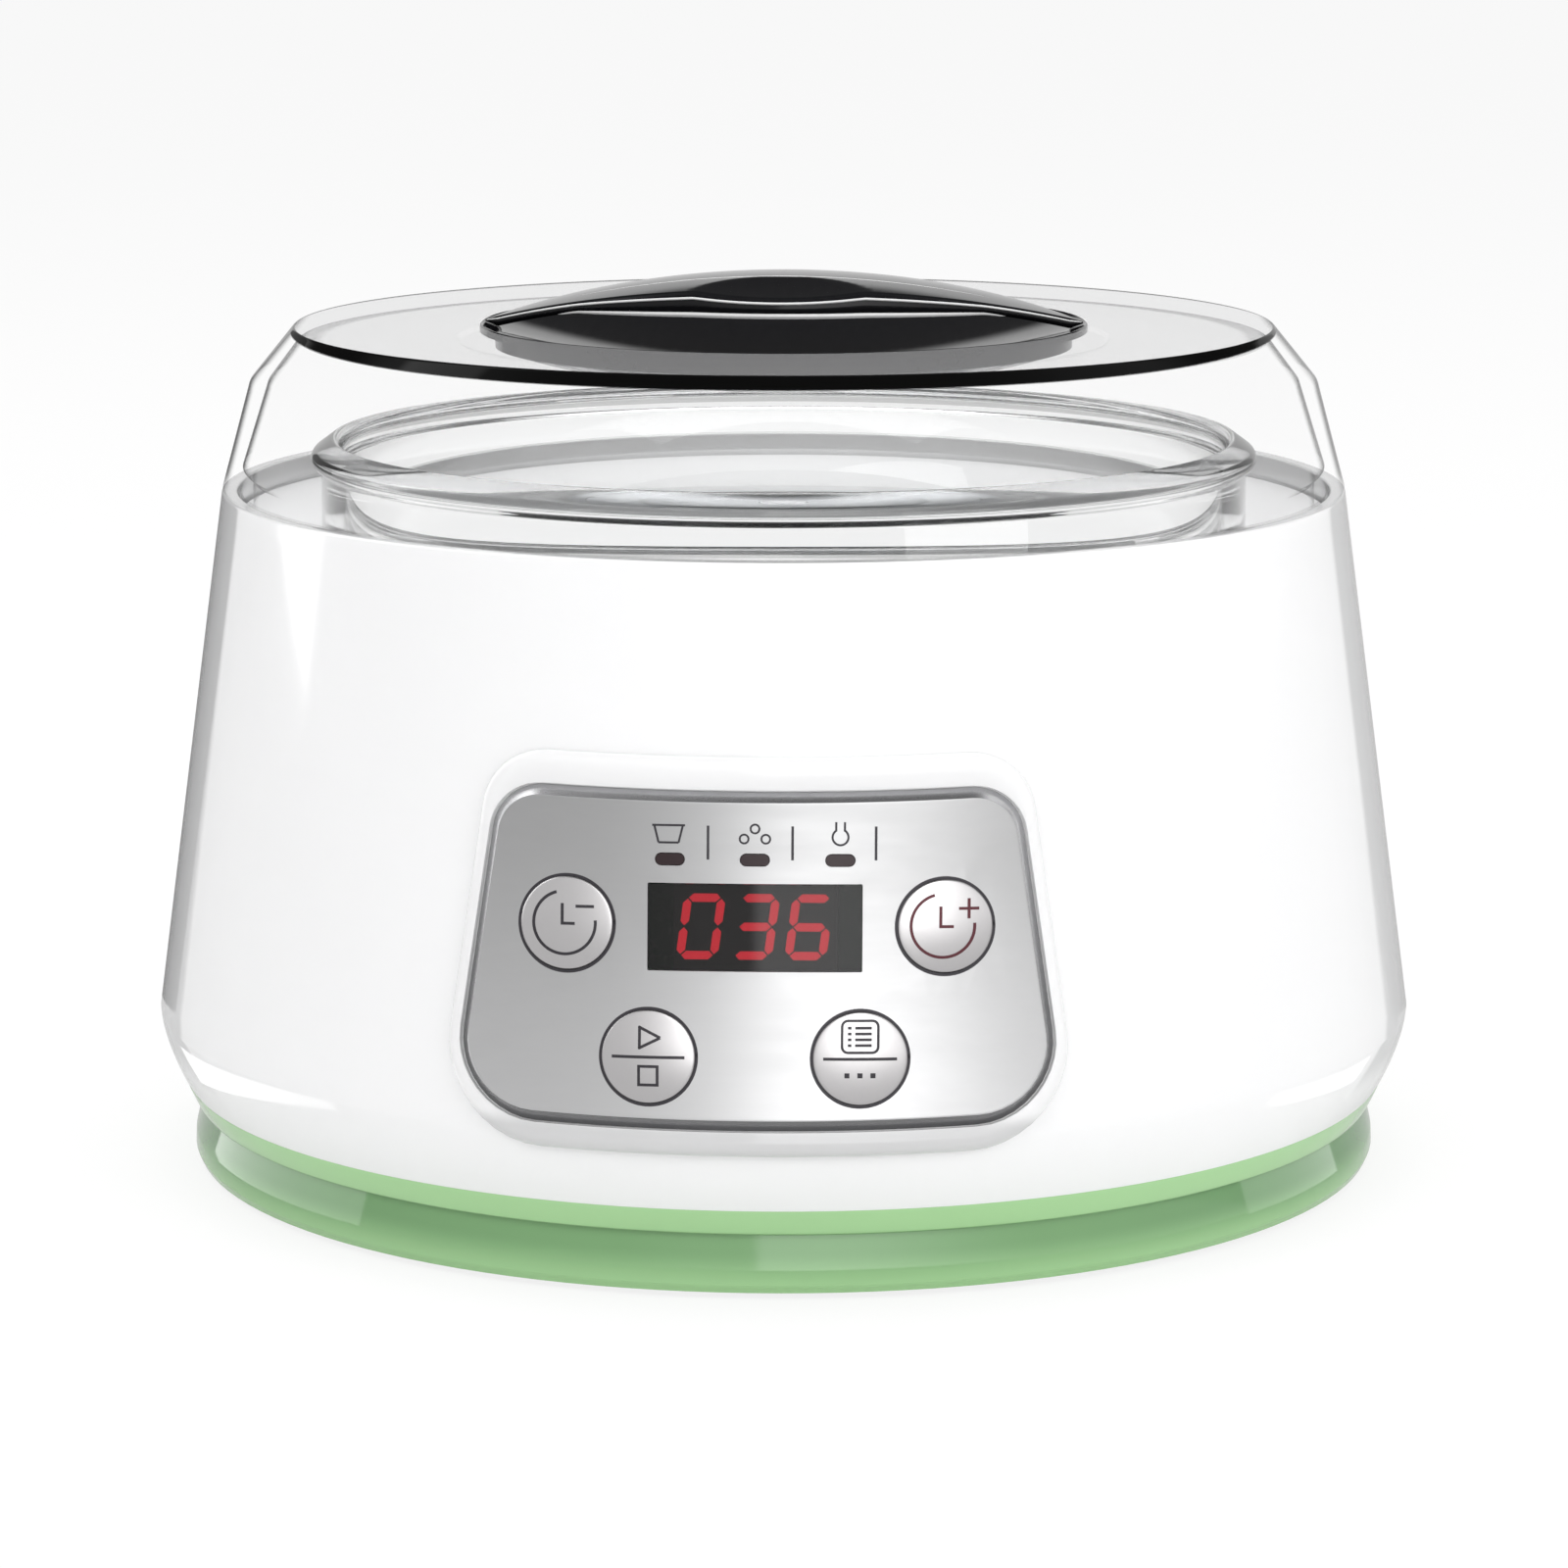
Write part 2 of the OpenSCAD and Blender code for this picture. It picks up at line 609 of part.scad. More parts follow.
module panel_bezel() color(white) difference() {
    union() {
        // frame on the casing
        intersection() {
            cone_layer(0.05, bezel_rise);
            panel_pad(bezel_outline(0), 0, bezel_outline(1), bezel_rise);
        }
        // plug in the casing's opening
        intersection() {
            cone_layer(backing_n, bezel_rise - 0.5);
            panel_pad(bezel_outline(1.7), backing_n, bezel_outline(1.7), bezel_rise);
        }
        // posts for the control board
        intersection() {
            in_panel() for (p = board_holes) translate([p[0], p[1], control_front + fit])
                cylinder(r = 3, h = 0.5 - control_front);
            cone_core(backing_n + 0.5);
        }
    }
    // pocket for the metal plate
    intersection() {
        cone_layer(pocket_n, bezel_rise + over);
        panel_pad(metal_outline(-0.2), pocket_n, metal_outline(-0.2), bezel_rise);
    }
    in_panel() {
        for (b = buttons) translate([b[0], b[1], -20]) cylinder(r = button_r + slip, h = 30);
        lamp_places() pill(lamp_size + [0.2, 0.2], 20, 8);
        translate([0, window_v, 0]) through([display_size[0] + 0.4, display_size[1] + 0.4]);
        for (p = board_holes) translate([p[0], p[1], control_front - over]) cylinder(r = hole_r, h = 5.5);
    }
}

module front_panel() color(metal) difference() {
    intersection() {
        cone_layer(metal_n, metal_face_n);
        panel_pad(metal_outline(0), metal_n, metal_outline(plate_t), metal_face_n);
    }
    in_panel() {
        for (b = buttons) translate([b[0], b[1], -20]) cylinder(r = button_r + slip, h = 30);
        lamp_places() pill(lamp_size + [0.2, 0.2], 20, 8);
        translate([0, window_v, 0]) through(window_size);
    }
}

module display_window() color([0.08, 0.03, 0.04, 0.6]) intersection() {
    cone_layer(metal_n, metal_face_n);
    in_panel() translate([0, window_v, 0]) through(window_size - [0.2, 0.2]);
}

module indicator_lenses() color([0.25, 0.05, 0.06]) intersection() {
    cone_layer(backing_n, metal_face_n + 0.1);
    in_panel() lamp_places() pill(lamp_size, 20, 8);
}

// cap with a shallow dome, stop flange behind the bezel and stem to the switch
module button(place) color(metal) {
    crown = on_side(place, metal_face_n + 0.8 - button_dome);
    intersection() {
        in_panel() translate([place[0], place[1], -14]) cylinder(r = button_r, h = 24);
        translate(crown) sphere(r = button_dome, $fn = 160);
        cone_layer(backing_n - flange_gap - button_flange_t, metal_face_n + 3);
    }
    intersection() {
        in_panel() translate([place[0], place[1], -20]) cylinder(r = button_r + 1.2, h = 24);
        cone_layer(backing_n - flange_gap - button_flange_t, backing_n - flange_gap);
    }
    intersection() {
        in_panel() translate([place[0], place[1], control_front + switch_h + actuator_h])
            cylinder(r = 2, h = 20);
        cone_core(backing_n - flange_gap - button_flange_t / 2);
    }
}

// plunger of a push switch, which the button's stem presses
module actuator(place) color([0.1, 0.1, 0.1])
    in_panel() translate([place[0], place[1], control_front + switch_h - actuator_in])
        cylinder(r = actuator_r, h = actuator_h + actuator_in);

module tact_switches() color([0.2, 0.2, 0.22]) in_panel() for (b = buttons)
    translate([b[0], b[1], control_front + fit / 2]) difference() {
        translate([-switch_size / 2, -switch_size / 2, 0])
            cube([switch_size, switch_size, switch_h - fit / 2]);
        translate([0, 0, switch_h - actuator_in - button_travel - slip])
            cylinder(r = actuator_r + 0.08, h = switch_h);
    }

module time_minus_button() button(buttons[0]);
module time_plus_button() button(buttons[1]);
module start_button() button(buttons[2]);
module function_button() button(buttons[3]);
module time_minus_actuator() actuator(buttons[0]);
module time_plus_actuator() actuator(buttons[1]);
module start_actuator() actuator(buttons[2]);
module function_actuator() actuator(buttons[3]);

module control_board() color([0.1, 0.42, 0.22]) in_panel() difference() {
    translate([-control_board_size[0] / 2, control_board_v - control_board_size[1] / 2, control_back])
        cube([control_board_size[0], control_board_size[1], board_t]);
    for (p = board_holes) translate([p[0], p[1], control_back - over])
        cylinder(r = hole_r, h = board_t + 2 * over);
}

module control_board_screws() color(metal) in_panel() for (p = board_holes)
    translate([p[0], p[1], control_back - fit - 1.6]) screw(7);

module display_spacer() color(black) in_panel()
    translate([0, window_v, control_front + fit / 2]) difference() {
        height = display_front - display_size[2] - control_front - fit;
        translate([-display_size[0] / 2 + 1, -display_size[1] / 2 + 1, 0])
            cube([display_size[0] - 2, display_size[1] - 2, height]);
        translate([-display_size[0] / 2 + 3, -display_size[1] / 2 + 3, -over])
            cube([display_size[0] - 6, display_size[1] - 6, height + 2 * over]);
    }

module display_module() color(black) in_panel()
    translate([-display_size[0] / 2, window_v - display_size[1] / 2, display_front - display_size[2]])
        cube(display_size);

// ---- seven-segment digits ------------------------------------------------------------

function slanted(p) = [p[0] + p[1] * tan(digit_slant), p[1]];

// one bar from a to b with pointed ends
function bar(a, b) = let (u = (b - a) / norm(b - a), v = [-u[1], u[0]], h = stroke / 2, g = 0.15)
    [for (p = [a + u * g, a + u * (h + g) + v * h, b - u * (h + g) + v * h,
               b - u * g, b - u * (h + g) - v * h, a + u * (h + g) - v * h]) slanted(p)];

// a digit's seven bars in the usual order a to g; lit is a string of their letters
module digit(lit) {
    w = (digit_size[0] - stroke) / 2;
    h = (digit_size[1] - stroke) / 2;
    bars = [[[-w, h], [w, h]], [[w, h], [w, 0]], [[w, 0], [w, -h]], [[-w, -h], [w, -h]],
            [[-w, 0], [-w, -h]], [[-w, h], [-w, 0]], [[-w, 0], [w, 0]]];
    for (i = [0:6]) if (len(search("abcdefg"[i], lit)) > 0)
        linear_extrude(height = 0.15) polygon(bar(bars[i][0], bars[i][1]));
}

module display_digits() color([0.85, 0.1, 0.12]) in_panel()
    translate([0, window_v, display_front + 0.02]) {
        translate([-digit_pitch, 0, 0]) digit("abcdef");
        digit("abcdg");
        translate([digit_pitch, 0, 0]) digit("acdefg");
    }

module indicator_leds() color([0.7, 0.7, 0.7]) in_panel() lamp_places()
    translate([0, 0, control_front + fit / 2]) {
        cylinder(r = 1.9, h = 1);
        cylinder(r = 1.5, h = backing_n - 1.4 - control_front);
    }

// ---- bowl and lid ------------------------------------------------------------------------

module inner_bowl() color(clear) {
    foot_r_out = bowl_r - bowl_round;
    rotate_extrude() polygon(concat(
        [[0, bowl_z + 1], [foot_r_out - 22, bowl_z + 1], [foot_r_out - 20, bowl_z]],
        arc(bowl_r - bowl_round, bowl_z + bowl_round, bowl_round, -90, 0, 10),
        [[bowl_r, bowl_top - 5]],
        arc(bowl_r, bowl_top - 3, bead, -60, 60, 6),
        arc(bowl_r - bowl_wall + 1.4, bowl_top - 1.4, 1.4, 90, 180, 4),
        [[bowl_r - bowl_wall, bowl_top - 4]],
        arc(bowl_r - bowl_round, bowl_z + bowl_round, bowl_round - bowl_wall, 0, -90, 10),
        [[0, bowl_z + bowl_wall]]));
}

lid_top_z = casing_rim_z + lid_h;
dish_curve = (grip_r * grip_r + dish_depth * dish_depth) / (2 * dish_depth);
arch_curve = (grip_r * grip_r + grip_rise * grip_rise) / (2 * grip_rise);
flange_step = 1.2;        // depth of the seat for the dish's flange
dish_out_r = grip_r - 2.3;
peg_x = grip_r - 4;
peg_r = 1.5;

module lid_shell() color(clear) {
    z = casing_rim_z + 0.15;
    shoulder = casing_rim_z + lid_shoulder_h;
    lip_r = rim_in_r - 0.4;
    rotate_extrude() polygon(concat(
        [[casing_rim_r - 0.3, z], [casing_rim_r, z + 0.4]],
        [[lid_shoulder_r + 0.25, shoulder - 0.9], [lid_shoulder_r - 0.1, shoulder + 0.1],
         [lid_shoulder_r - 0.7, shoulder + 1.1]],
        [[lid_top_r + 1, lid_top_z - 1.3], [lid_top_r + 0.4, lid_top_z - 0.4], [lid_top_r - 0.4, lid_top_z]],
        [[grip_r + fit, lid_top_z], [grip_r + fit, lid_top_z - flange_step],
         [dish_out_r + fit, lid_top_z - flange_step], [dish_out_r + fit, lid_top_z - lid_wall - 0.6],
         [grip_r + 3, lid_top_z - lid_wall - 0.6], [grip_r + 3.6, lid_top_z - lid_wall]],
        [[lid_top_r - 0.6, lid_top_z - lid_wall], [lid_shoulder_r - lid_wall - 0.6, shoulder],
         [casing_rim_r - lid_wall - 0.9, z + 3.2], [lip_r - 1.9, z + 1.6],
         [lip_r - 1.9, casing_rim_z - lid_lip], [lip_r - 0.4, casing_rim_z - lid_lip],
         [lip_r, casing_rim_z - lid_lip + 0.5], [lip_r, z]]));
}

module grip_dish() color(black) difference() {
    union() {
        translate([0, 0, lid_top_z - flange_step + fit])
            cylinder(r = grip_r, h = flange_step - fit + 0.1);
        intersection() {
            translate([0, 0, lid_top_z - dish_depth + dish_curve])
                sphere(r = dish_curve + grip_t, $fn = 300);
            translate([0, 0, lid_top_z - 20]) cylinder(r = dish_out_r, h = 20);
        }
    }
    translate([0, 0, lid_top_z - dish_depth + dish_curve]) sphere(r = dish_curve, $fn = 300);
    for (s = [-1, 1]) translate([s * peg_x, 0, lid_top_z - 20]) cylinder(r = peg_r + fit, h = 30);
}

// leaf-shaped arch over the dish, with a finger scoop in its front edge
module grip_bridge() color(black) {
    leaf_r = (grip_r * grip_r + grip_w * grip_w / 4) / grip_w;
    crest = lid_top_z + grip_rise;
    scoop_y = grip_w / 2 + 12;
    front_z = crest - grip_w * grip_w / (8 * arch_curve);
    dish_centre = lid_top_z - dish_depth + dish_curve;
    difference() {
        intersection() {
            translate([0, leaf_r - grip_w / 2, lid_top_z - 20]) cylinder(r = leaf_r, h = 40, $fn = 300);
            translate([0, grip_w / 2 - leaf_r, lid_top_z - 20]) cylinder(r = leaf_r, h = 40, $fn = 300);
            translate([0, 0, lid_top_z - 20]) cylinder(r = grip_r - 0.6, h = 40);
            translate([0, 0, crest - arch_curve]) sphere(r = arch_curve, $fn = 300);
            translate([0, 0, dish_centre]) sphere(r = dish_curve - fit, $fn = 300);
        }
        translate([0, 0, crest - arch_curve]) sphere(r = arch_curve - grip_t, $fn = 300);
        translate([0, -scoop_y, front_z - scoop_depth + sqrt(scoop_r * scoop_r - 144)])
            sphere(r = scoop_r, $fn = 300);
    }
    for (s = [-1, 1]) translate([s * peg_x, 0, lid_top_z - grip_t - 2.4])
        cylinder(r = peg_r, h = grip_t + 2.4);
}

base_tray();
rubber_feet();
base_screws();
outer_casing();
inner_well();
heater_plate();
heater_element();
heater_bracket();
bracket_screws();
temperature_sensor();
thermal_fuse();
power_board();
power_transformer();
filter_capacitor();
smoothing_capacitor();
power_relay();
mains_terminal();
power_board_screws();
cord_gland();
heater_leads();
sensor_lead();
ribbon_cable();
control_board();
control_board_screws();
tact_switches();
display_spacer();
display_module();
display_digits();
indicator_leds();
panel_bezel();
front_panel();
display_window();
indicator_lenses();
time_minus_button();
time_plus_button();
start_button();
function_button();
time_minus_actuator();
time_plus_actuator();
start_actuator();
function_actuator();
inner_bowl();
lid_shell();
grip_dish();
grip_bridge();
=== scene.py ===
# %% [markdown]
# # A yogurt maker, dressed for its portrait
# The moving parts and their sizes come packed from CAD. This lesson gives each of them a finish, adds the
# finely rounded shells that the eye sees, the small printed signs and a soft studio. First the imported
# frame is loaded.

# %% Load the frame
import json
import math

import bmesh
import bpy
import numpy as np
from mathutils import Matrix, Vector


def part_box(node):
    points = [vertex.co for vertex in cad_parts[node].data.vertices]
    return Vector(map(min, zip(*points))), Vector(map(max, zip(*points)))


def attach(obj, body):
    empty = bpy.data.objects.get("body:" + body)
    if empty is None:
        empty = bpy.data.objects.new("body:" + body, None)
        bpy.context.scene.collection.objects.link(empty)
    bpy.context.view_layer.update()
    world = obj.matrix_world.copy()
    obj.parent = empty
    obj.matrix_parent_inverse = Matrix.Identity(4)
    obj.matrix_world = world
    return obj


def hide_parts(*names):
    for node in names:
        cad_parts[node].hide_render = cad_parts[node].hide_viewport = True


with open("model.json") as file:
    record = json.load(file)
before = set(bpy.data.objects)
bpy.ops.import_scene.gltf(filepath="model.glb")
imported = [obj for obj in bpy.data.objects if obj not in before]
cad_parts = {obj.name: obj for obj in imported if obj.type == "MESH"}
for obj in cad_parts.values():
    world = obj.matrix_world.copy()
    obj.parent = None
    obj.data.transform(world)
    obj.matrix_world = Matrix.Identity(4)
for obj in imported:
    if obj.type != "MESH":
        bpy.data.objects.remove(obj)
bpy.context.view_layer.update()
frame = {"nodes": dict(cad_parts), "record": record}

# %% [markdown]
# The camera looks down a little from the front, through a long lens, as for a catalogue.
# It is placed first, because everything after it is judged through it. A short lens from
# nearby would make the near rim loom, so it stands back and looks through 120 mm.

# %% Camera
CAMERA_PLACE = (0.0341, -0.8024, 0.2093)
CAMERA_TILT = math.radians(79.23)
CAMERA_TURN = math.radians(2.43)
CAMERA_LENS = 120.42

camera_data = bpy.data.cameras.new("portrait")
camera_data.lens = CAMERA_LENS
camera_data.sensor_width = 36
camera_data.clip_start = 0.05
camera = bpy.data.objects.new("portrait", camera_data)
camera.location = CAMERA_PLACE
camera.rotation_euler = (CAMERA_TILT, 0, CAMERA_TURN)
bpy.context.scene.collection.objects.link(camera)
bpy.context.scene.camera = camera
print("camera at", CAMERA_PLACE)

# %% [markdown]
# Sizes are in millimetres, as on the drawing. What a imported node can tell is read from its
# box; the rest is named here. The casing's side is a cone, from its widest line to its rim.

# %% Sizes
MM = 0.001


def low(node):
    """Lowest corner of a CAD node, in millimetres."""
    return np.array(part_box(node)[0]) / MM


def high(node):
    """Highest corner of a CAD node, in millimetres."""
    return np.array(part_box(node)[1]) / MM


WIDE_R, WIDE_Z = high("outer_casing")[0], 24.0
RIM_R, RIM_Z = 86.1, high("outer_casing")[2]
SEAM_Z, TUCK, WALL = 13.4, 3.6, 2.4
SLOPE = (WIDE_R - RIM_R) / (RIM_Z - WIDE_Z)
TILT = math.atan(SLOPE)
LID_TOP, TOP_R = high("lid_shell")[2], 74.8
BOWL_LOW, BOWL_TOP = low("inner_bowl")[2], high("inner_bowl")[2]
BEAD = 1.5
BOWL_R = high("inner_bowl")[0] - BEAD
GRIP_R = 46.5
PANEL_Z = 50.0


def side_r(z):
    """Radius of the casing's straight side at height z."""
    return WIDE_R - (z - WIDE_Z) * SLOPE


PANEL_R = side_r(PANEL_Z)
print(f"widest {2 * WIDE_R:.1f} mm, rim at {RIM_Z:.1f} mm, bowl {2 * BOWL_R:.1f} mm")

# %% [markdown]
# Every new shape below is a grid of points worked out at once with numpy. One function turns
# such a grid into a mesh, closes its seams and poles and keeps its true edges crisp. It is
# used for all pieces, so a piece is no more than its grid and a few names.

# %% From grids to pieces
def grid_faces(rows, cols, wrap_rows, wrap_cols):
    """Quads between neighbours of a rows x cols grid, as one array of corner numbers."""
    i = np.arange(rows if wrap_rows else rows - 1)[:, None]
    j = np.arange(cols if wrap_cols else cols - 1)[None, :]
    i2, j2 = (i + 1) % rows, (j + 1) % cols
    corners = (i * cols + j, i2 * cols + j, i2 * cols + j2, i * cols + j2)
    return np.stack([np.broadcast_to(c, (i.size, j.size)) for c in corners], -1).reshape(-1, 4)


def solid(name, grids, sharp=35):
    """Mesh object from (points, wrap_rows, wrap_cols) grids in millimetres."""
    points, faces, count = [], [], 0
    for grid, wrap_rows, wrap_cols in grids:
        faces.append(grid_faces(*grid.shape[:2], wrap_rows, wrap_cols) + count)
        points.append(grid.reshape(-1, 3))
        count += len(points[-1])
    mesh = bpy.data.meshes.new(name)
    mesh.from_pydata((np.concatenate(points) * MM).tolist(), [], np.concatenate(faces).tolist())
    obj = bpy.data.objects.new(name, mesh)
    bpy.context.scene.collection.objects.link(obj)
    tidy(obj, sharp)
    return obj


def tidy(obj, sharp):
    """Merges doubles, turns faces outwards and smooths all edges under `sharp` degrees."""
    b = bmesh.new()
    b.from_mesh(obj.data)
    bmesh.ops.remove_doubles(b, verts=b.verts, dist=2e-7)
    bmesh.ops.dissolve_degenerate(b, edges=b.edges, dist=1e-8)
    bmesh.ops.recalc_face_normals(b, faces=b.faces)
    b.to_mesh(obj.data)
    b.free()
    obj.data.shade_smooth()
    obj.data.set_sharp_from_angle(angle=math.radians(sharp))


def dress(obj, body, slot, replaces=(), material=None):
    """Attaches a piece to its body, gives it its slot's finish or the given material, and hides the CAD
    nodes it stands for.
    """
    obj.data.materials.clear()
    obj.data.materials.append(material or FINISH[slot])
    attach(obj, body)
    if replaces:
        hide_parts(*replaces)
    print(f"{obj.name}: {len(obj.data.polygons)} faces on {body}")


def cut(obj, cutters, sharp=35):
    """Cuts closed shapes out of a piece with an exact boolean, and deletes the cutters."""
    for cutter in cutters:
        modifier = obj.modifiers.new("cut", "BOOLEAN")
        modifier.operation, modifier.solver, modifier.object = "DIFFERENCE", "EXACT", cutter
    bpy.context.view_layer.update()
    whole = bpy.data.meshes.new_from_object(obj.evaluated_get(bpy.context.evaluated_depsgraph_get()))
    obj.modifiers.clear()
    obj.data = whole
    for cutter in cutters:
        bpy.data.objects.remove(cutter)
    tidy(obj, sharp)


print("piece helpers ready")

# %% [markdown]
# A finish is a small node tree. `node` adds any node from its type, its settings and its
# sockets, and `Number` lets shader maths be written as plain Python: `1 - mask` adds a node.

# %% Finishes: the tools
class Number:
    """A number socket; Python's operators on it add Math nodes."""

    def __init__(self, tree, socket):
        self.tree, self.socket = tree, socket

    def math(self, operation, *values):
        """Adds a Math node of this operation on the values, which may be sockets."""
        made = self.tree.node("ShaderNodeMath", {"operation": operation}, dict(enumerate(values)))
        return Number(self.tree, made.outputs[0])

    def __add__(self, other):
        return self.math("ADD", self, other)

    __radd__ = __add__

    def __mul__(self, other):
        return self.math("MULTIPLY", self, other)

    __rmul__ = __mul__

    def __sub__(self, other):
        return self.math("SUBTRACT", self, other)

    def __rsub__(self, other):
        return self.math("SUBTRACT", other, self)

    def ramp(self, start, end, first=0.0, last=1.0):
        """Goes smoothly from first to last while the number goes from start to end."""
        made = self.tree.node("ShaderNodeMapRange", {"interpolation_type": "SMOOTHSTEP"},
                              {0: self, 1: start, 2: end, 3: first, 4: last})
        return Number(self.tree, made.outputs[0])

    def between(self, start, end, blur):
        """1 from start to end, falling to 0 over `blur` on both sides."""
        return self.ramp(start - blur, start) * self.ramp(end, end + blur, 1.0, 0.0)


class Tree:
    """A node tree with one short way to add any node."""

    def __init__(self, tree):
        self.tree = tree
        self.tree.nodes.clear()

    def node(self, kind, settings=None, sockets=None):
        """Adds a node: its settings first, then values or links for its sockets."""
        made = self.tree.nodes.new(kind)
        for key, value in (settings or {}).items():
            setattr(made, key, value)
        for key, value in (sockets or {}).items():
            value = getattr(value, "socket", value)
            if isinstance(value, bpy.types.NodeSocket):
                self.tree.links.new(value, made.inputs[key])
            else:
                made.inputs[key].default_value = value
        return made

    def number(self, kind, output=0, settings=None, sockets=None):
        """Adds a node and gives one of its outputs as a number."""
        return Number(self, self.node(kind, settings, sockets).outputs[output])

    def axes(self, source):
        """The three axes of Object or Generated coordinates, as numbers."""
        place = self.node("ShaderNodeTexCoord").outputs[source]
        split = self.node("ShaderNodeSeparateXYZ", None, {0: place})
        return [Number(self, split.outputs[axis]) for axis in "XYZ"]

    def noise(self, scale, detail=3.0, roughness=0.5, stretch=(1, 1, 1)):
        """Noise of `scale` cells a metre on Object coordinates, denser where stretch is over 1."""
        place = self.node("ShaderNodeTexCoord").outputs["Object"]
        place = self.node("ShaderNodeMapping", None, {"Vector": place, "Scale": stretch}).outputs[0]
        return self.number("ShaderNodeTexNoise", 0, None, {
            "Vector": place, "Scale": scale, "Detail": detail, "Roughness": roughness})

    def blend(self, factor, first, second):
        """Mix node from one colour socket or RGBA value to another."""
        return self.node("ShaderNodeMix", {"data_type": "RGBA"},
                         {0: factor, 6: first, 7: second}).outputs[2]

    def tint(self, factor, first, second):
        """A colour that goes from first to second as factor goes from 0 to 1."""
        return self.blend(factor, (*first, 1), (*second, 1))

    def bump(self, height, strength, depth):
        """Normal from a height of `depth` metres."""
        return self.node("ShaderNodeBump", None,
                         {"Height": height, "Strength": strength, "Distance": depth}).outputs[0]

    def mix(self, factor, first, second):
        """Shader that goes from first to second."""
        return self.node("ShaderNodeMixShader", None, {0: factor, 1: first, 2: second}).outputs[0]

    def principled(self, **sockets):
        """Principled shader; a socket's spaces are written as underscores."""
        named = {key.replace("_", " "): value for key, value in sockets.items()}
        return self.node("ShaderNodeBsdfPrincipled", None, named).outputs[0]


def finish(name, recipe):
    """Material whose surface is the shader that recipe(tree) returns."""
    material = bpy.data.materials.new(name)
    material.use_nodes = True
    tree = Tree(material.node_tree)
    tree.node("ShaderNodeOutputMaterial", None, {0: recipe(tree)})
    return material


print("finish tools ready")

# %% [markdown]
# Moulded gloss plastic is smooth but never perfect. Its skin has a faint orange peel, and its gloss is a
# little cloudy from place to place. One recipe serves the white and the green, and takes a function that
# says where painted shade lies: a painted grey outline on the casing, standing in for the darker reflection
# white gloss has there, and painted shade on the low side of the bezel, in the depth of the well and under
# the base's waist.

# %% Moulded gloss plastic
def moulded(name, colour, shade, gloss, coat=0.25, painted_shade_at=None):
    """Gloss plastic of two close colours. The last argument, given the tree, says where painted shade lies
    on it, as a number that is 1 there, and gives the painted shade's colour."""
    def recipe(t):
        cloud = t.noise(28.0, 2.0)
        tone = t.tint(cloud, colour, shade)
        if painted_shade_at:
            where, deep = painted_shade_at(t)
            tone = t.blend(where, tone, (*deep, 1))
        return t.principled(Base_Color=tone,
                            Roughness=cloud.ramp(0.0, 1.0, gloss * 0.8, gloss * 1.25), IOR=1.48,
                            Coat_Weight=coat, Coat_Roughness=0.03,
                            Normal=t.bump(t.noise(420.0, 2.0), 0.04, 0.00003))
    return finish(name, recipe)


def painted_outline_grey(t):
    """A painted grey band on the casing's outline, where its gloss turns away: a painted reflection of a
    darker room.
    """
    facing = t.number("ShaderNodeLayerWeight", "Facing", None, {"Blend": 0.5})
    return facing.ramp(0.735, 0.765) * t.axes("Object")[2].ramp(0.017, 0.022), (0.62, 0.62, 0.625)


def painted_low_shade(t):
    """Painted shade on the lower limb of the bezel, which turns away from the light."""
    return t.axes("Object")[2].ramp(0.0250, 0.0275, 0.9, 0.0), (0.56, 0.56, 0.565)


def painted_well_shade(t):
    """Painted shade down in the well, where less light comes."""
    return t.axes("Object")[2].ramp((RIM_Z - 12) * MM, (RIM_Z - 10) * MM, 1.0, 0.0), (0.62, 0.62, 0.625)


def painted_flare_shade(t):
    """Painted shade below the base's flare, deeper towards the sides."""
    x, y, z = t.axes("Object")
    band = z.ramp(0.0010, 0.0070, 0.1, 1.0) * z.ramp(0.0092, 0.0097, 1.0, 0.0)
    return band * (x * x).ramp(0.0, 0.0081, 0.80, 1.0), (0.13, 0.28, 0.115)


FINISH = {
    "white_plastic": moulded("white_gloss", (0.86, 0.865, 0.87), (0.84, 0.845, 0.85), 0.10),
    # The green carries painted shade under the base's flare.
    "green_plastic": moulded("green_gloss", (0.385, 0.645, 0.32), (0.37, 0.63, 0.305), 0.07,
                             painted_shade_at=painted_flare_shade),
}
# The bezel's white carries painted shade on its lower limb.
BEZEL_WHITE = moulded("bezel_gloss", (0.83, 0.83, 0.835), (0.81, 0.81, 0.815), 0.10,
                      painted_shade_at=painted_low_shade)
# The well's white carries painted shade deep in the well.
WELL_WHITE = moulded("well_satin", (0.84, 0.84, 0.845), (0.82, 0.82, 0.825), 0.35, coat=0.0,
                      painted_shade_at=painted_well_shade)
# The casing's white carries a painted grey outline.
CASING_WHITE = moulded("casing_gloss", (0.87, 0.87, 0.875), (0.85, 0.85, 0.855), 0.08,
                       painted_shade_at=painted_outline_grey)
print("plastics:", *FINISH)

# %% [markdown]
# The grip is black gloss, nearly a mirror; fine wiping scratches soften its reflections here
# and there. Rubber, sleeves, tape and lacquer share one matt recipe with a fine grain.

# %% Black gloss and matt stuff
def black_gloss(t):
    """Black gloss with wiping scratches, which run along Y."""
    scratch = t.noise(900.0, 4.0, 0.7, (1.0, 0.08, 1.0))
    return t.principled(Base_Color=t.tint(scratch, (0.004, 0.004, 0.005), (0.009, 0.009, 0.010)),
                        Roughness=scratch.ramp(0.2, 0.9, 0.03, 0.10), IOR=1.3)


def matt(name, colour, rough=0.6, scale=700.0, grain_depth=0.00005):
    """Plain stuff with a fine grain in its colour, its gloss and its height."""
    def recipe(t):
        grain = t.noise(scale, 4.0, 0.6)
        return t.principled(Base_Color=t.tint(grain, colour, tuple(c * 0.8 for c in colour)),
                            Roughness=grain.ramp(0.0, 1.0, rough * 0.8, rough),
                            Normal=t.bump(grain, 0.2, grain_depth))
    return finish(name, recipe)


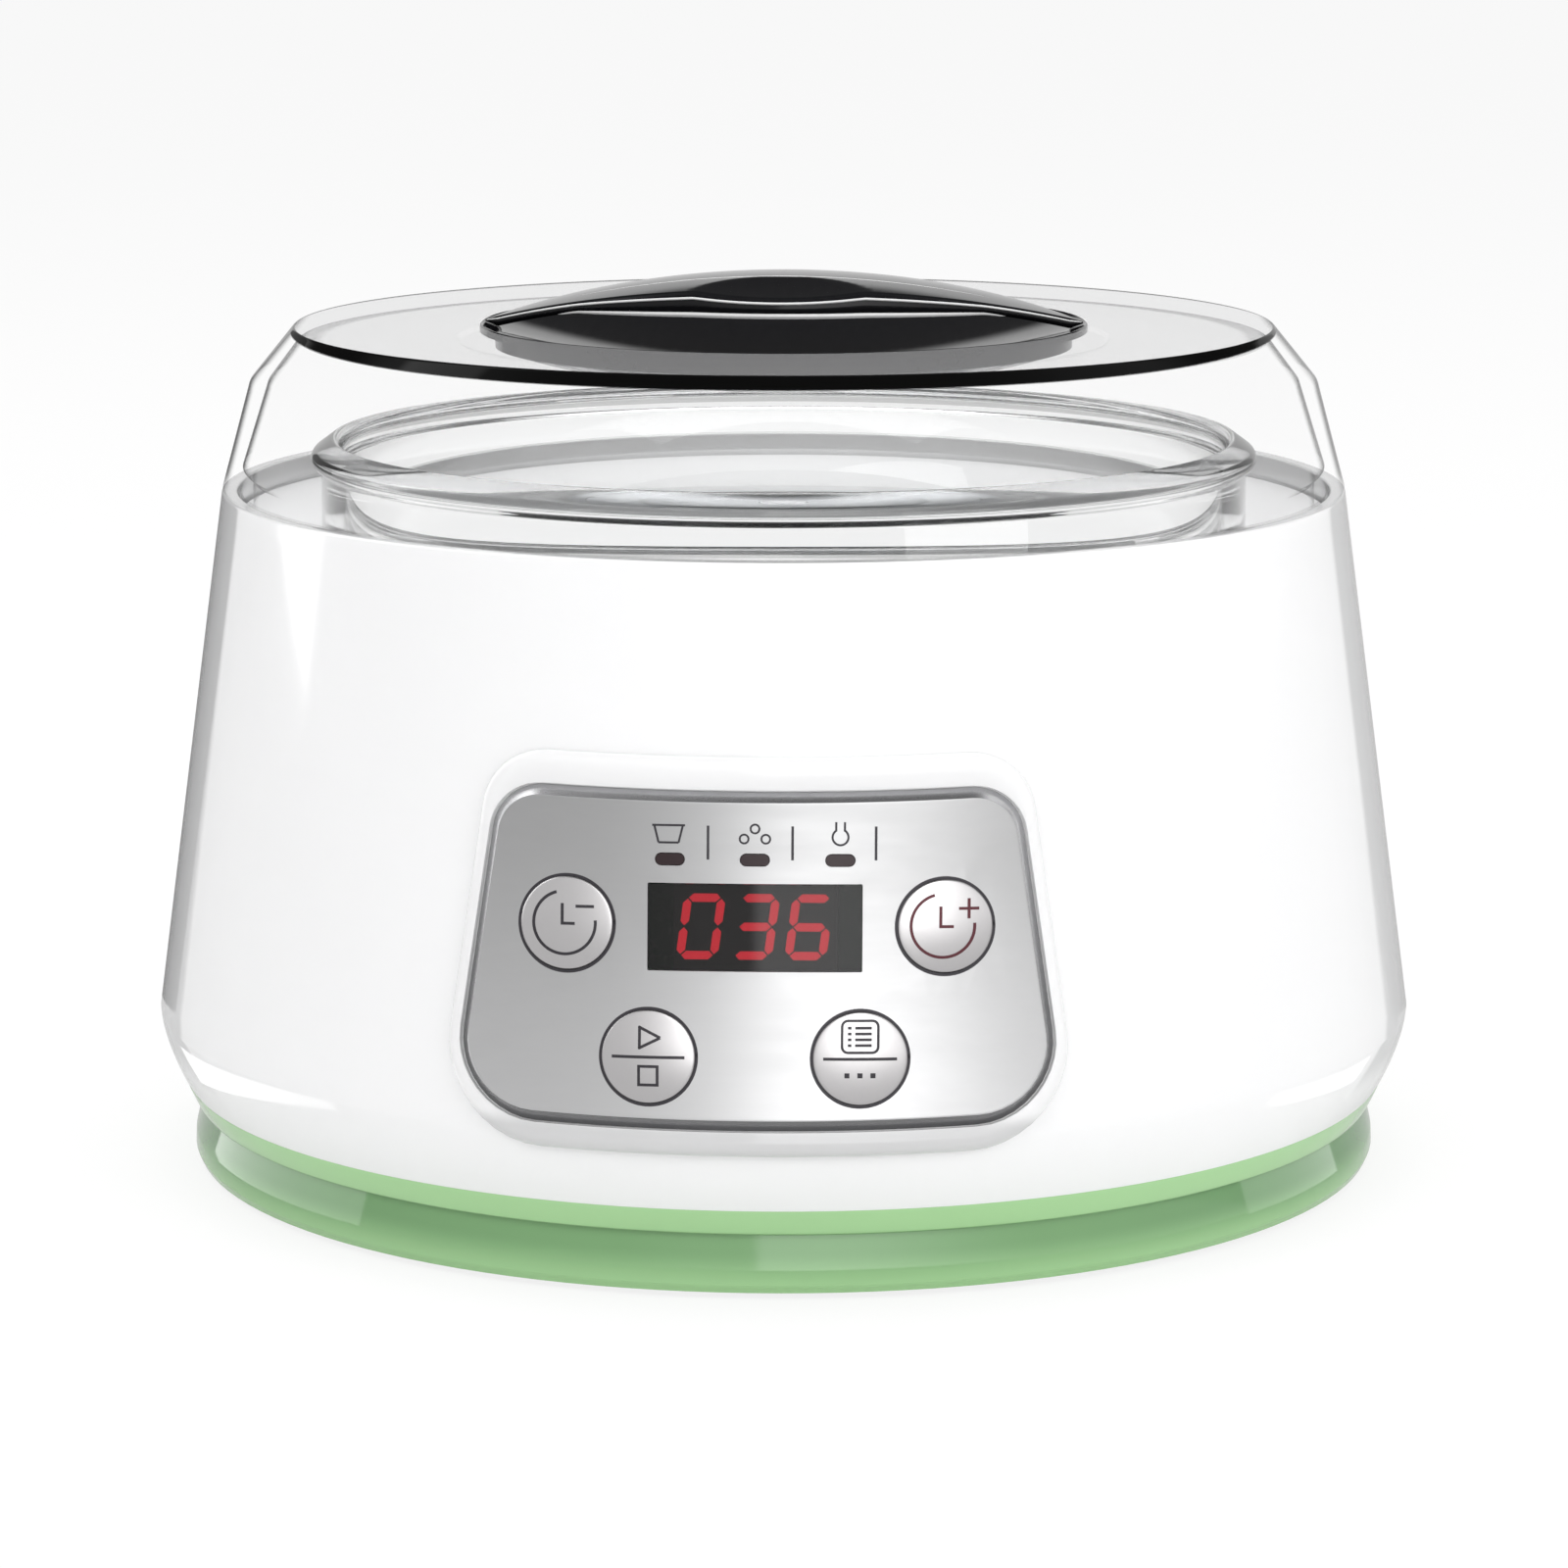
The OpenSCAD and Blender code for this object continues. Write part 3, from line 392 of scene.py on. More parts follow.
FINISH["grip_black"] = finish("grip_gloss", black_gloss)
FINISH.update({name: matt(name, colour, rough) for name, colour, rough in (
    ("foot_rubber", (0.03, 0.03, 0.032), 0.85), ("mica", (0.30, 0.22, 0.13), 0.5),
    ("ceramic", (0.70, 0.69, 0.64), 0.5), ("circuit_board", (0.02, 0.16, 0.06), 0.3),
    ("winding_tape", (0.60, 0.42, 0.05), 0.35), ("yellow_box", (0.62, 0.42, 0.05), 0.4),
    ("sleeve_blue", (0.03, 0.05, 0.20), 0.35), ("terminal_green", (0.04, 0.28, 0.10), 0.4),
    ("wire_red", (0.45, 0.03, 0.03), 0.4), ("wire_black", (0.02, 0.02, 0.02), 0.4),
    ("ribbon_grey", (0.40, 0.40, 0.42), 0.45), ("black_plastic", (0.02, 0.02, 0.02), 0.5),
    ("display_body", (0.004, 0.004, 0.004), 0.7), ("led_resin", (0.60, 0.58, 0.55), 0.2),
    ("lens_red", (0.016, 0.003, 0.005), 0.35))})
# Matt white for the painted highlights on the grip's edges.
HIGHLIGHT_PAINT = matt("painted_highlight_white", (0.9, 0.9, 0.9), 0.3, 900.0, 0.00001)
INK = matt("ink", (0.025, 0.022, 0.028), 0.5, 1500.0, 0.00001)
INK_RED = matt("ink_dark_red", (0.09, 0.012, 0.02), 0.5, 1500.0, 0.00001)
print("matt finishes:", len(FINISH))

# %% [markdown]
# Brushed metal is noise drawn out along the brushing, in its gloss and in its height. An
# anisotropic shader would stretch the highlight as well, but it needs a tangent on every piece.
# The plate is rubbed from side to side; the buttons are blasted, so their grain is even. The plate's colour
# also falls upwards, painted shade for the darker part of the room it faces.

# %% Metals
def rubbed(name, colour, rough, stretch=(1, 1, 1), depth=0.000012, fade=1.0):
    """Bare metal rubbed along the axes where stretch is small; its colour is multiplied by `fade` upwards,
    painted shade where fade is under 1 and painted light where it is over 1.
    """
    def recipe(t):
        streak = t.noise(300.0, 5.0, 0.65, stretch)
        rise = t.axes("Object")[2].ramp(0.020, 0.078)
        shade = t.tint(rise, colour, tuple(c * fade for c in colour))
        worn = t.tint(rise, tuple(c * 0.92 for c in colour), tuple(c * 0.92 * fade for c in colour))
        return t.principled(Base_Color=t.blend(streak, shade, worn), Metallic=1.0,
                            Roughness=streak.ramp(0.0, 1.0, rough * 0.85, rough * 1.15),
                            Normal=t.bump(streak, 0.5, depth))
    return finish(name, recipe)


# Painted shade: the plate's colour falls to 0.70 of itself towards its top.
FINISH["panel_metal"] = rubbed("panel_satin", (0.74, 0.74, 0.745), 0.34, (0.06, 1.0, 1.0), fade=0.70)
FINISH["button_metal"] = rubbed("button_satin", (0.70, 0.685, 0.69), 0.34)
FINISH["zinc_steel"] = rubbed("zinc_plate", (0.62, 0.63, 0.65), 0.32)
FINISH["screw_steel"] = rubbed("screw_zinc", (0.60, 0.61, 0.62), 0.28)
FINISH["cast_aluminium"] = rubbed("cast_plate", (0.72, 0.73, 0.75), 0.38, (1.0, 0.1, 1.0))
FINISH["sensor_metal"] = rubbed("sensor_cap", (0.75, 0.75, 0.77), 0.25)
print("metals ready")

# %% [markdown]
# The bowl is glass: rays bend in it, and shadow rays meet a tinted Transparent shader, so that lamps reach
# what is inside. The lid's wall is thin, so it needs no bending: it is clear seen straight on and closes
# towards its outline in a near-black colour, a painted dark edge. A plate of clear plastic seen flat looks
# pale, so the lid's top is painted a pale tone, a painted reflection, and a painted dark line round the
# top's edge stands for the light trapped in its corner.

# %% Clear shells and the smoked window
def see_through(name, ior, colour, passes, haze=0.01):
    """Clear solid; `passes` is what it lets through to shadow rays."""
    def recipe(t):
        smear = t.noise(35.0, 2.0)
        body = t.principled(Base_Color=(*colour, 1), IOR=ior, Transmission_Weight=1.0,
                            Roughness=smear.ramp(0.3, 0.8, 0.0, haze))
        open_way = t.node("ShaderNodeBsdfTransparent", None, {0: (*passes, 1)}).outputs[0]
        return t.mix(t.number("ShaderNodeLightPath", "Is Shadow Ray"), body, open_way)
    return finish(name, recipe)


def glowing(name, colour, dim, strength):
    """A lit bar, a little uneven along its length."""
    def recipe(t):
        grain = t.noise(900.0, 2.0)
        glow = t.tint(grain, colour, dim)
        return t.principled(Base_Color=glow, Roughness=grain.ramp(0.0, 1.0, 0.3, 0.4),
                            Emission_Color=glow, Emission_Strength=strength)
    return finish(name, recipe)


def thin_clear(t):
    """Clear thin wall; its opacity follows the facing. Its colour is painted: near black towards the
    outline as a painted dark edge, pale on the flat top as a painted reflection, and a painted dark line
    runs under the top's edge, wider in front, for light trapped in the corner."""
    x, y, z = t.axes("Object")
    facing = t.number("ShaderNodeLayerWeight", "Facing", None, {"Blend": 0.5})
    smear = t.noise(30.0, 2.0)
    edge_zone = (x * x + y * y).ramp(0.070 ** 2, 0.072 ** 2)
    width = (y * -1.0).ramp(-0.02, TOP_R * MM, 0.0004, 0.0021)
    corner = (z + width).ramp(LID_TOP * MM, (LID_TOP + 0.25) * MM)
    corner = corner * z.ramp((LID_TOP - 0.12) * MM, (LID_TOP - 0.03) * MM, 1.0, 0.0)
    corner = corner * edge_zone
    top = z.ramp((LID_TOP - 0.1) * MM, (LID_TOP - 0.02) * MM)
    # Painted reflection: the top's tone is pale; the walls' is near black, a painted dark edge; the corner
    # line is painted shade.
    tone = t.tint(top, (0.04, 0.04, 0.042), (0.42, 0.42, 0.425))
    tone = t.blend(corner, tone, (0.003, 0.003, 0.003, 1))
    wall = facing.ramp(0.84, 0.96, 0.010, 0.96) * (1 - top) * (edge_zone * 0.85 + 0.15)
    closing = wall + facing.ramp(0.3, 0.78, 0.03, 0.34) * top
    closing = closing * z.ramp((RIM_Z - 1) * MM, (RIM_Z + 4) * MM, 0.3, 1.0)
    body = t.principled(Base_Color=tone, Roughness=smear.ramp(0.2, 0.8, 0.01, 0.03) + top * 0.35,
                        IOR=1.12, Alpha=closing.math("MAXIMUM", closing, corner))
    open_way = t.node("ShaderNodeBsdfTransparent", None, {0: (0.96, 0.96, 0.96, 1)}).outputs[0]
    return t.mix(t.number("ShaderNodeLightPath", "Is Shadow Ray"), body, open_way)


FINISH["clear_plastic"] = finish("lid_clear", thin_clear)
FINISH["bowl_glass"] = see_through("bowl_clear", 1.5, (0.940, 0.944, 0.944), (0.97, 0.975, 0.975))
FINISH["smoked_window"] = see_through("window_smoked", 1.40, (0.42, 0.38, 0.38), (0.5, 0.5, 0.5), 0.0)
FINISH["lit_red"] = glowing("digit_red", (0.80, 0.020, 0.040), (0.68, 0.015, 0.035), 1.15)
print("clear finishes ready")

# %% [markdown]
# The inner pieces keep their CAD shapes, because they are hardly seen: only their finish is
# new. Each material slot of the record has one finish, so a loop over the nodes is enough.

# %% Finish every CAD node
node_slot = {row["node"]: row["material_slot"] for row in frame["record"]["subparts"]}
for name, node in frame["nodes"].items():
    node.data.materials.clear()
    node.data.materials.append(FINISH[node_slot[name]])
print("finished nodes:", len(node_slot))

# %% [markdown]
# Most of this appliance is turned: a profile goes round the Z axis. `rounded` softens the
# corners of a profile with arcs, as a mould has them, and `spun` turns it. A Screw modifier
# turns a profile too, but a grid of known points can be measured and cut without applying it.

# %% Turned shapes
def rounded(corners, steps=6):
    """Closed path through (x, y, radius) corners, each cut back by an arc of its radius:
    the arc's centre lies on the corner's bisector, radius / sin(half the angle) away."""
    corners = np.asarray(corners, float)
    path = []
    for before, here, after in zip(np.roll(corners, 1, 0), corners, np.roll(corners, -1, 0)):
        u = (before - here)[:2] / np.linalg.norm((before - here)[:2])
        v = (after - here)[:2] / np.linalg.norm((after - here)[:2])
        half = math.acos(np.clip(u @ v, -1, 1)) / 2
        if here[2] == 0 or half > 1.55:
            path.append(here[None, :2])
            continue
        centre = here[:2] + (u + v) / np.linalg.norm(u + v) * here[2] / math.sin(half)
        start = here[:2] + u * here[2] / math.tan(half) - centre
        side = np.sign(start[0] * (v - u)[1] - start[1] * (v - u)[0])
        turn = side * np.linspace(0, math.pi - 2 * half, steps + 1)
        path.append(centre + np.stack([start[0] * np.cos(turn) - start[1] * np.sin(turn),
                                       start[0] * np.sin(turn) + start[1] * np.cos(turn)], -1))
    return np.concatenate(path)


def spun(profile, segments=360):
    """Grid of a (radius, height) profile turned round Z: x = r cos a, y = r sin a."""
    profile = np.asarray(profile, float)
    a = np.linspace(0, 2 * np.pi, segments, endpoint=False)
    r, z = profile[:, :1], profile[:, 1:]
    return np.stack([r * np.cos(a), r * np.sin(a), z + 0 * a], -1), True, True


def arc(cx, cy, r, start, end, steps=12):
    """Points on a circle from one angle to another, in degrees."""
    a = np.radians(np.linspace(start, end, steps + 1))
    return np.stack([cx + r * np.cos(a), cy + r * np.sin(a)], -1)


print("turning helpers ready")

# %% [markdown]
# The panel is drawn flat and wrapped on the casing's cone. Its outline is a rounded trapezoid:
# all outlines have the same number of points, so rows of them make a grid. `on_side` carries a
# flat point to the cone; `ahead` places a point of the panel's own flat frame, in which the
# buttons move, and `laid` drops such a point onto the cone. A Shrinkwrap modifier could lay a
# flat panel there, but formulas keep its edges clean and its thickness even.

# %% Panel geometry
PLATE = dict(half=39.2, top=22.6, bottom=24.0, r_top=7.5, r_bottom=10.5)
BEZEL = dict(half=41.5, top=27.4, bottom=27.7, r_top=9.5, r_bottom=13.5)
SLANT = 0.148
BEZEL_N, POCKET_N, PLATE_BACK_N, PLATE_N = 1.5, 0.7, 0.8, 2.2


def outline(shape, inset, across=30, turn=10):
    """Rounded trapezoid pulled in by `inset`: arcs that touch the slanted sides, and
    straight runs along the top and the bottom."""
    half, top, bottom = shape["half"] - inset, shape["top"] - inset, shape["bottom"] - inset
    side = math.degrees(math.atan(SLANT))
    lean = math.sqrt(1 + SLANT * SLANT)
    r, s = shape["r_bottom"] - inset, shape["r_top"] - inset
    lower = arc(half - SLANT * (r - bottom) - r * lean, r - bottom, r, -90, side, turn)
    upper = arc(half - SLANT * (top - s) - s * lean, top - s, s, side, 90, turn)
    right = np.concatenate([lower, upper])
    run = np.linspace(1, -1, across)[1:-1, None]
    over = np.concatenate([run * upper[-1, 0], 0 * run + top], -1)
    under = np.concatenate([-run * lower[0, 0], 0 * run - bottom], -1)
    return np.concatenate([right, over, right[::-1] * [-1, 1], under])


def on_side(flat, n):
    """Flat (x, height) points carried to the cone, n outside it: the angle is
    asin(x / radius), and the cone leans back by its tilt."""
    x, z = flat[..., 0], PANEL_Z + flat[..., 1]
    r = side_r(z)
    a, rn = np.arcsin(x / r), r + n * math.cos(TILT)
    return np.stack([rn * np.sin(a), -rn * np.cos(a), z + n * math.sin(TILT)], -1)


def ahead(x, v, w):
    """Point of the panel's flat frame: x across, v up the side, w straight out."""
    return np.stack([x + 0 * w, -PANEL_R - w * math.cos(TILT) + v * math.sin(TILT),
                     PANEL_Z + v * math.cos(TILT) + w * math.sin(TILT)], -1)


def depth(x, v, n):
    """How far out (x, v) of the flat frame meets the cone moved out by n. The radius there
    is R - v sin t - w sin t tan t + n / cos t, so w is found by repetition."""
    w = 0.0 * x
    for _ in range(5):
        r = PANEL_R - v * math.sin(TILT) - w * math.sin(TILT) * SLOPE + n / math.cos(TILT)
        w = (np.sqrt(r * r - x * x) - PANEL_R + v * math.sin(TILT)) / math.cos(TILT)
    return w


def laid(x, v, n):
    """Point of the flat frame dropped onto the cone moved out by n."""
    return ahead(x, v, depth(x, v, n))


def filled(shape, inset, n, rings=10):
    """Rows of an outline that shrink to its middle, all on the cone."""
    scale = np.linspace(1, 0, rings + 1)[:, None, None]
    return on_side(outline(shape, inset) * scale, n)


print("plate half width", PLATE["half"], "mm, cone tilt", round(math.degrees(TILT), 2), "degrees")

# %% [markdown]
# The casing's wall is one closed profile: up the outside over the widest line, round the rim
# and down the inside. Under the widest line it curves in to the seam. It could be a thin
# surface with a Solidify modifier, but then the rim's ledge, on which the well sits, would need
# a piece of its own. A boolean opens the wall behind the panel, because the buttons and the
# display reach through.

# %% Casing
rise = np.linspace(0, 1, 32)
tuck = np.stack([WIDE_R - TUCK * (1 - rise) ** 1.6, SEAM_Z + rise * (WIDE_Z - SEAM_Z)], -1)
climb = np.linspace(WIDE_Z, RIM_Z - 3, 27)[1:]
straight = np.stack([side_r(climb), climb], -1)
LEDGE_Z, LEDGE_R = RIM_Z - 8.5, RIM_R - WALL - 4
rim = rounded([(side_r(RIM_Z - 3), RIM_Z - 3, 0), (RIM_R, RIM_Z, 0.45), (RIM_R - WALL, RIM_Z, 0.35),
               (side_r(LEDGE_Z) - WALL, LEDGE_Z, 0.5), (LEDGE_R, LEDGE_Z, 0.3),
               (LEDGE_R, LEDGE_Z - 1.6, 0.3), (side_r(LEDGE_Z - 5) - WALL, LEDGE_Z - 5, 0)])
casing = solid("casing_shell", [spun(np.concatenate([tuck, straight, rim, tuck[::-1] - [WALL, 0]]))])
opening_rows = np.concatenate([filled(BEZEL, 1.5, 2.0)[::-1], filled(BEZEL, 1.5, -4.5)])
cut(casing, [solid("opening", [(opening_rows, False, True)])])
dress(casing, "root", "white_plastic", ["outer_casing"], CASING_WHITE)

# %% [markdown]
# The base is a moulded tray. Its foot ring, waist and flare are seen under the casing, and
# reflections run along them. The tray itself keeps its CAD shape; only a fine turned skin is
# laid over its wall, which is less work than a new tray.

# %% Base
FOOT_R, FOOT_Z, WAIST_R, WAIST_Z, SKIN = WIDE_R - 5, 1.0, WIDE_R - 6.3, 9.5, 0.05
foot = rounded([(FOOT_R - 3, FOOT_Z, 0), (FOOT_R, FOOT_Z, 1.4), (FOOT_R - 0.15, FOOT_Z + 3.4, 4),
                (WAIST_R, WAIST_Z - 0.2, 0.1), (WAIST_R + 0.5, WAIST_Z + 0.05, 0)])[:-1]
flare_t = np.linspace(0, 1, 24)
flare = np.stack([WAIST_R + 0.8 + (tuck[0, 0] - WAIST_R - 0.8) * flare_t ** 0.85,
                  WAIST_Z + 0.1 + (SEAM_Z - WAIST_Z - 0.1) * flare_t], -1)
outer = np.concatenate([foot, flare])
skin = np.concatenate([outer + [SKIN, 0], outer[::-1] - [0.6, 0]])
base = solid("base_skin", [spun(skin)])
dress(base, "root", "green_plastic")

# %% [markdown]
# The well is the white liner that holds the bowl. Its mouth sweeps up to the casing's rim in
# one soft curve, and a round hole in its floor shows the warm plate. Its radii follow from the
# bowl's and the rim's, so the gap round the bowl stays even.

# %% Well
WELL_R, WELL_WALL, WELL_FLOOR = BOWL_R + 1.2, 1.6, low("inner_well")[2]
PLATE_R = 47.6
sweep = np.linspace(1, 0, 24)
deck = np.stack([WELL_R + 1 + (RIM_R - WALL - 0.1 - WELL_R - 1) * sweep,
                 RIM_Z - 9.7 + 5.7 * sweep ** 1.5], -1)
floor_in = arc(WELL_R - 4, WELL_FLOOR + 6, 4, 0, -90)
floor_out = arc(WELL_R + WELL_WALL - 4, WELL_FLOOR + 4, 4, -90, 0)
well_profile = np.concatenate([
    deck, [[WELL_R, RIM_Z - 10.7]], floor_in, [[PLATE_R + 0.2, WELL_FLOOR + 2]],
    [[PLATE_R + 0.2, WELL_FLOOR]], floor_out, [[WELL_R + WELL_WALL, RIM_Z - 11.7]],
    [[LEDGE_R - 0.1, LEDGE_Z + 0.1], [RIM_R - WALL - 0.1, LEDGE_Z + 0.1]]])
well = solid("well_liner", [spun(well_profile)])
dress(well, "root", "white_plastic", ["inner_well"], WELL_WHITE)

# %% [markdown]
# The glass bowl has a thick wall, a round heel and a rolled rim. Glass needs a closed solid
# with both faces, or light would not bend as it does in the real one. One profile goes down
# the outside and up the inside, because rim and heel have curves that no even wall has.

# %% Glass bowl
heel = arc(BOWL_R - 18, BOWL_LOW + 18, 18, -90, 0, 24)
lip = np.concatenate([arc(BOWL_R, BOWL_TOP - 3, BEAD, -60, 60, 10),
                      arc(BOWL_R - 1.6, BOWL_TOP - 1.4, 1.4, 90, 180)])
hollow = arc(BOWL_R - 18, BOWL_LOW + 18, 15, 0, -90, 24)
bowl_profile = np.concatenate([
    [[0, BOWL_LOW + 1], [31, BOWL_LOW + 1], [33, BOWL_LOW + 0.2], [34, BOWL_LOW]], heel,
    [[BOWL_R, BOWL_TOP - 5]], lip, hollow, [[0, BOWL_LOW + 3]]])
bowl_grid = spun(bowl_profile)[0]
bowl = solid("bowl_shell", [(bowl_grid, False, True)], 50)
dress(bowl, "bowl", "bowl_glass", ["inner_bowl"])

# %% [markdown]
# The lid is one clear shell: a lip that centres it, a sloping wall, a shoulder and a flat top
# with a round seat for the grip. It is a true wall with both its faces, though its finish
# treats it as thin, so it can be cut open or be given real glass later on.

# %% Lid
LID_LOW, LIP_R = RIM_Z + 0.15, RIM_R - WALL - 0.4
SHOULDER_R, SHOULDER_Z, LID_WALL = 81.6, RIM_Z + 16.5, 2.2
lid_profile = rounded([
    (RIM_R, LID_LOW, 0.4), (SHOULDER_R, SHOULDER_Z, 2.5), (TOP_R, LID_TOP, 1.0),
    (GRIP_R + 0.1, LID_TOP, 0.15), (GRIP_R + 0.1, LID_TOP - 1.2, 0), (GRIP_R - 2.2, LID_TOP - 1.2, 0),
    (GRIP_R - 2.2, LID_TOP - LID_WALL - 0.6, 0.2), (GRIP_R + 3, LID_TOP - LID_WALL - 0.6, 0.3),
    (GRIP_R + 3.6, LID_TOP - LID_WALL, 0.3), (TOP_R - 0.6, LID_TOP - LID_WALL, 1.0),
    (SHOULDER_R - LID_WALL - 0.6, SHOULDER_Z, 2.0), (RIM_R - LID_WALL - 0.9, LID_LOW + 3.2, 0.8),
    (LIP_R - 1.9, LID_LOW + 1.6, 0.5), (LIP_R - 1.9, RIM_Z - 3, 0.4), (LIP_R, RIM_Z - 3, 0.5),
    (LIP_R, LID_LOW, 0.2)])
lid = solid("lid_clear_shell", [spun(lid_profile)], 50)
dress(lid, "lid", "clear_plastic", ["lid_shell"])

# %% [markdown]
# The grip is a round black dish let into the lid, with a leaf-shaped arch across it. The dish
# is turned. The arch is a section carried along X: its width follows the leaf, its height the
# arch and its flat underside the finger room, and a shallow scoop in front invites a finger.
# It could be sculpted, but formulas for its height keep both its tips on the dish's edge.
# The section goes over the top, down the back, along the underside and up the front. Three fine white beads
# follow its front edges and its crest: painted highlights, where the light catches the black gloss there.

# %% Grip
DISH_DEPTH, ARCH_RISE, GRIP_T, LEAF_W = 7.5, 7.4, 2.6, 36.0
DISH_CURVE = (GRIP_R ** 2 + DISH_DEPTH ** 2) / (2 * DISH_DEPTH)
ARCH_CURVE = (GRIP_R ** 2 + ARCH_RISE ** 2) / (2 * ARCH_RISE)
LEAF_R = (GRIP_R ** 2 + LEAF_W ** 2 / 4) / LEAF_W
DISH_Z = LID_TOP - DISH_DEPTH + DISH_CURVE


def dish_z(r, curve):
    """Height of the dish's sphere of radius `curve` over a point r from the axis."""
    return DISH_Z - np.sqrt(curve * curve - r * r)


inner_r, outer_r = np.linspace(0, GRIP_R - 0.5, 40), np.linspace(GRIP_R - 2.3, 0, 36)
dish_profile = np.concatenate([
    np.stack([inner_r, dish_z(inner_r, DISH_CURVE)], -1),
    [[GRIP_R - 0.25, LID_TOP + 0.02], [GRIP_R, LID_TOP - 0.2], [GRIP_R, LID_TOP - 1.1],
     [GRIP_R - 2.3, LID_TOP - 1.1]],
    np.stack([outer_r, dish_z(outer_r, DISH_CURVE + GRIP_T)], -1)])
dish = solid("grip_dish_gloss", [(spun(dish_profile)[0], False, True)])
dress(dish, "lid", "grip_black", ["grip_dish"])

along = (GRIP_R - 0.7) * np.sin(np.linspace(-np.pi / 2, np.pi / 2, 121))[:, None]
leaf = np.sqrt(LEAF_R ** 2 - along ** 2) - LEAF_R + LEAF_W / 2
edge = np.minimum(1.1, leaf * 0.6)
FACE, SIDE = 41, 8
down = np.linspace(0, 1, SIDE + 2)[1:-1]
up = np.linspace(1, 0, SIDE + 2)[1:-1]
across = np.concatenate([np.linspace(-1, 1, FACE), np.ones(SIDE), np.linspace(1, -1, FACE), -np.ones(SIDE)])
fall = np.concatenate([np.zeros(FACE), down, np.ones(FACE), up])
round_in = 1 - np.sqrt(np.clip(1 - (2 * fall - 1) ** 2, 0, 1)) * (np.abs(across) == 1)
y = across * (leaf - edge * round_in)
reach = np.sqrt(along ** 2 + y ** 2)
top = LID_TOP + ARCH_RISE - ARCH_CURVE + np.sqrt(ARCH_CURVE ** 2 - reach ** 2)
FLAT_Z = LID_TOP + 2.2
under = np.maximum(np.minimum(FLAT_Z, top - 1.6), dish_z(reach, DISH_CURVE) + 0.1)
SCOOP_R, SCOOP_Y, SCOOP_DEEP = 110.0, LEAF_W / 2 + 12, 1.3
front_top = LID_TOP + ARCH_RISE - LEAF_W ** 2 / (8 * ARCH_CURVE)
scoop_z = front_top - SCOOP_DEEP + math.sqrt(SCOOP_R ** 2 - 144)
scoop = scoop_z - np.sqrt(SCOOP_R ** 2 - along ** 2 - (y + SCOOP_Y) ** 2)
top = np.minimum(top, np.maximum(scoop, under + 0.8))
top = np.maximum(top, under + 0.05)
arch_grid = np.stack([along + 0 * y, y, top + (under - top) * fall], -1)
ends = [np.repeat(arch_grid[k].mean(0)[None, None], arch_grid.shape[1], 1) for k in (0, -1)]
arch = solid("grip_arch_gloss", [(np.concatenate([ends[0], arch_grid, ends[1]]), False, True)], 40)
dress(arch, "lid", "grip_black", ["grip_bridge"])


def bead(line, thick):
    """Thin round bead along a line of points: circles across X that shrink to both ends by
    the sine of the way along."""
    a = np.linspace(0, 2 * np.pi, 8, endpoint=False)
    fade = np.sin(np.linspace(0, np.pi, len(line)))[:, None] ** 0.4 * thick / 2
    return np.stack([line[:, :1] + 0 * a, line[:, 1:2] + fade * np.cos(a),
                     line[:, 2:] + fade * np.sin(a)], -1), False, True


FRONT_LOW = 2 * FACE + SIDE
FRONT_HIGH, CREST = FRONT_LOW + 6, 15
front_edge = arch_grid[3:-3, FRONT_HIGH]
low_edge = arch_grid[:, FRONT_LOW]
low_edge = low_edge[np.abs(low_edge[:, 2] - FLAT_Z) < 0.5]
crest_line = arch_grid[12:-12, CREST] - [0, 0, 0.18]
# Painted highlights: white beads along the arch's front edges and crest.
bright = solid("grip_painted_highlights", [bead(front_edge, 0.40), bead(low_edge, 1.0), bead(crest_line, 0.45)])
dress(bright, "lid", "grip_black", (), HIGHLIGHT_PAINT)

# %% [markdown]
# The bezel is the white frame round the metal plate, standing a little proud of the casing
# with a softly rounded edge. Rows of outlines, each with its own inset and height, make it a
# closed ring; the plate hides its inner edge. Insets and bevels by hand would give the same
# ring, but the plate's own outline is at hand, so the two fit by themselves.

# %% Bezel
swell = np.linspace(0, np.pi / 2, 9)
bezel_rows = [(outline(BEZEL, 1.9 * (1 - math.cos(a))), 0.03 + (BEZEL_N - 0.03) * math.sin(a))
              for a in swell]
bezel_rows += [(outline(shape, inset), n) for shape, inset, n in (
    (BEZEL, 2.0, BEZEL_N), (PLATE, -0.28, BEZEL_N), (PLATE, -0.22, BEZEL_N - 0.04),
    (PLATE, -0.2, BEZEL_N - 0.15), (PLATE, -0.2, POCKET_N), (PLATE, 3, POCKET_N),
    (PLATE, 3, -2.0), (BEZEL, 1.7, -2.0), (BEZEL, 1.7, 0.03))]
bezel = solid("bezel_frame", [(np.stack([on_side(flat, n) for flat, n in bezel_rows]), True, True)])
dress(bezel, "root", "white_plastic", ["panel_bezel"], BEZEL_WHITE)

# %% [markdown]
# The metal plate follows the cone and has a polished bevel all round, a thin ring with its own
# finish. Its holes for buttons, lamps and window are cut with prisms drawn in the panel's flat
# frame, as a punch would.

# %% Metal plate
BUTTON_R, BUTTON_GAP = 6.55, 0.3
BUTTONS = {"time_minus": (-26.3, 4.3), "time_plus": (26.3, 4.3),
           "start": (-14.7, -14.0), "function": (14.7, -14.0)}
WINDOW_V, WINDOW = 4.1, (29.8, 12.2)
LAMP_V, LAMP_PITCH, LAMP = 13.5, 11.8, (4.0, 1.6)


def pill(width, height):
    """Flat outline with round ends."""
    r = height / 2
    return np.concatenate([arc(width / 2 - r, 0, r, -90, 90), arc(r - width / 2, 0, r, 90, 270)])


def punch(name, flat, x, v):
    """Prism over a flat outline, right through the panel."""
    scale = np.array([0, 1, 1, 0])[:, None]
    w = np.array([-14, -14, 6, 6])[:, None]
    walls = ahead(x + flat[:, 0] * scale, v + flat[:, 1] * scale, w + 0 * flat[:, 0])
    return solid(name, [(walls, False, True)])


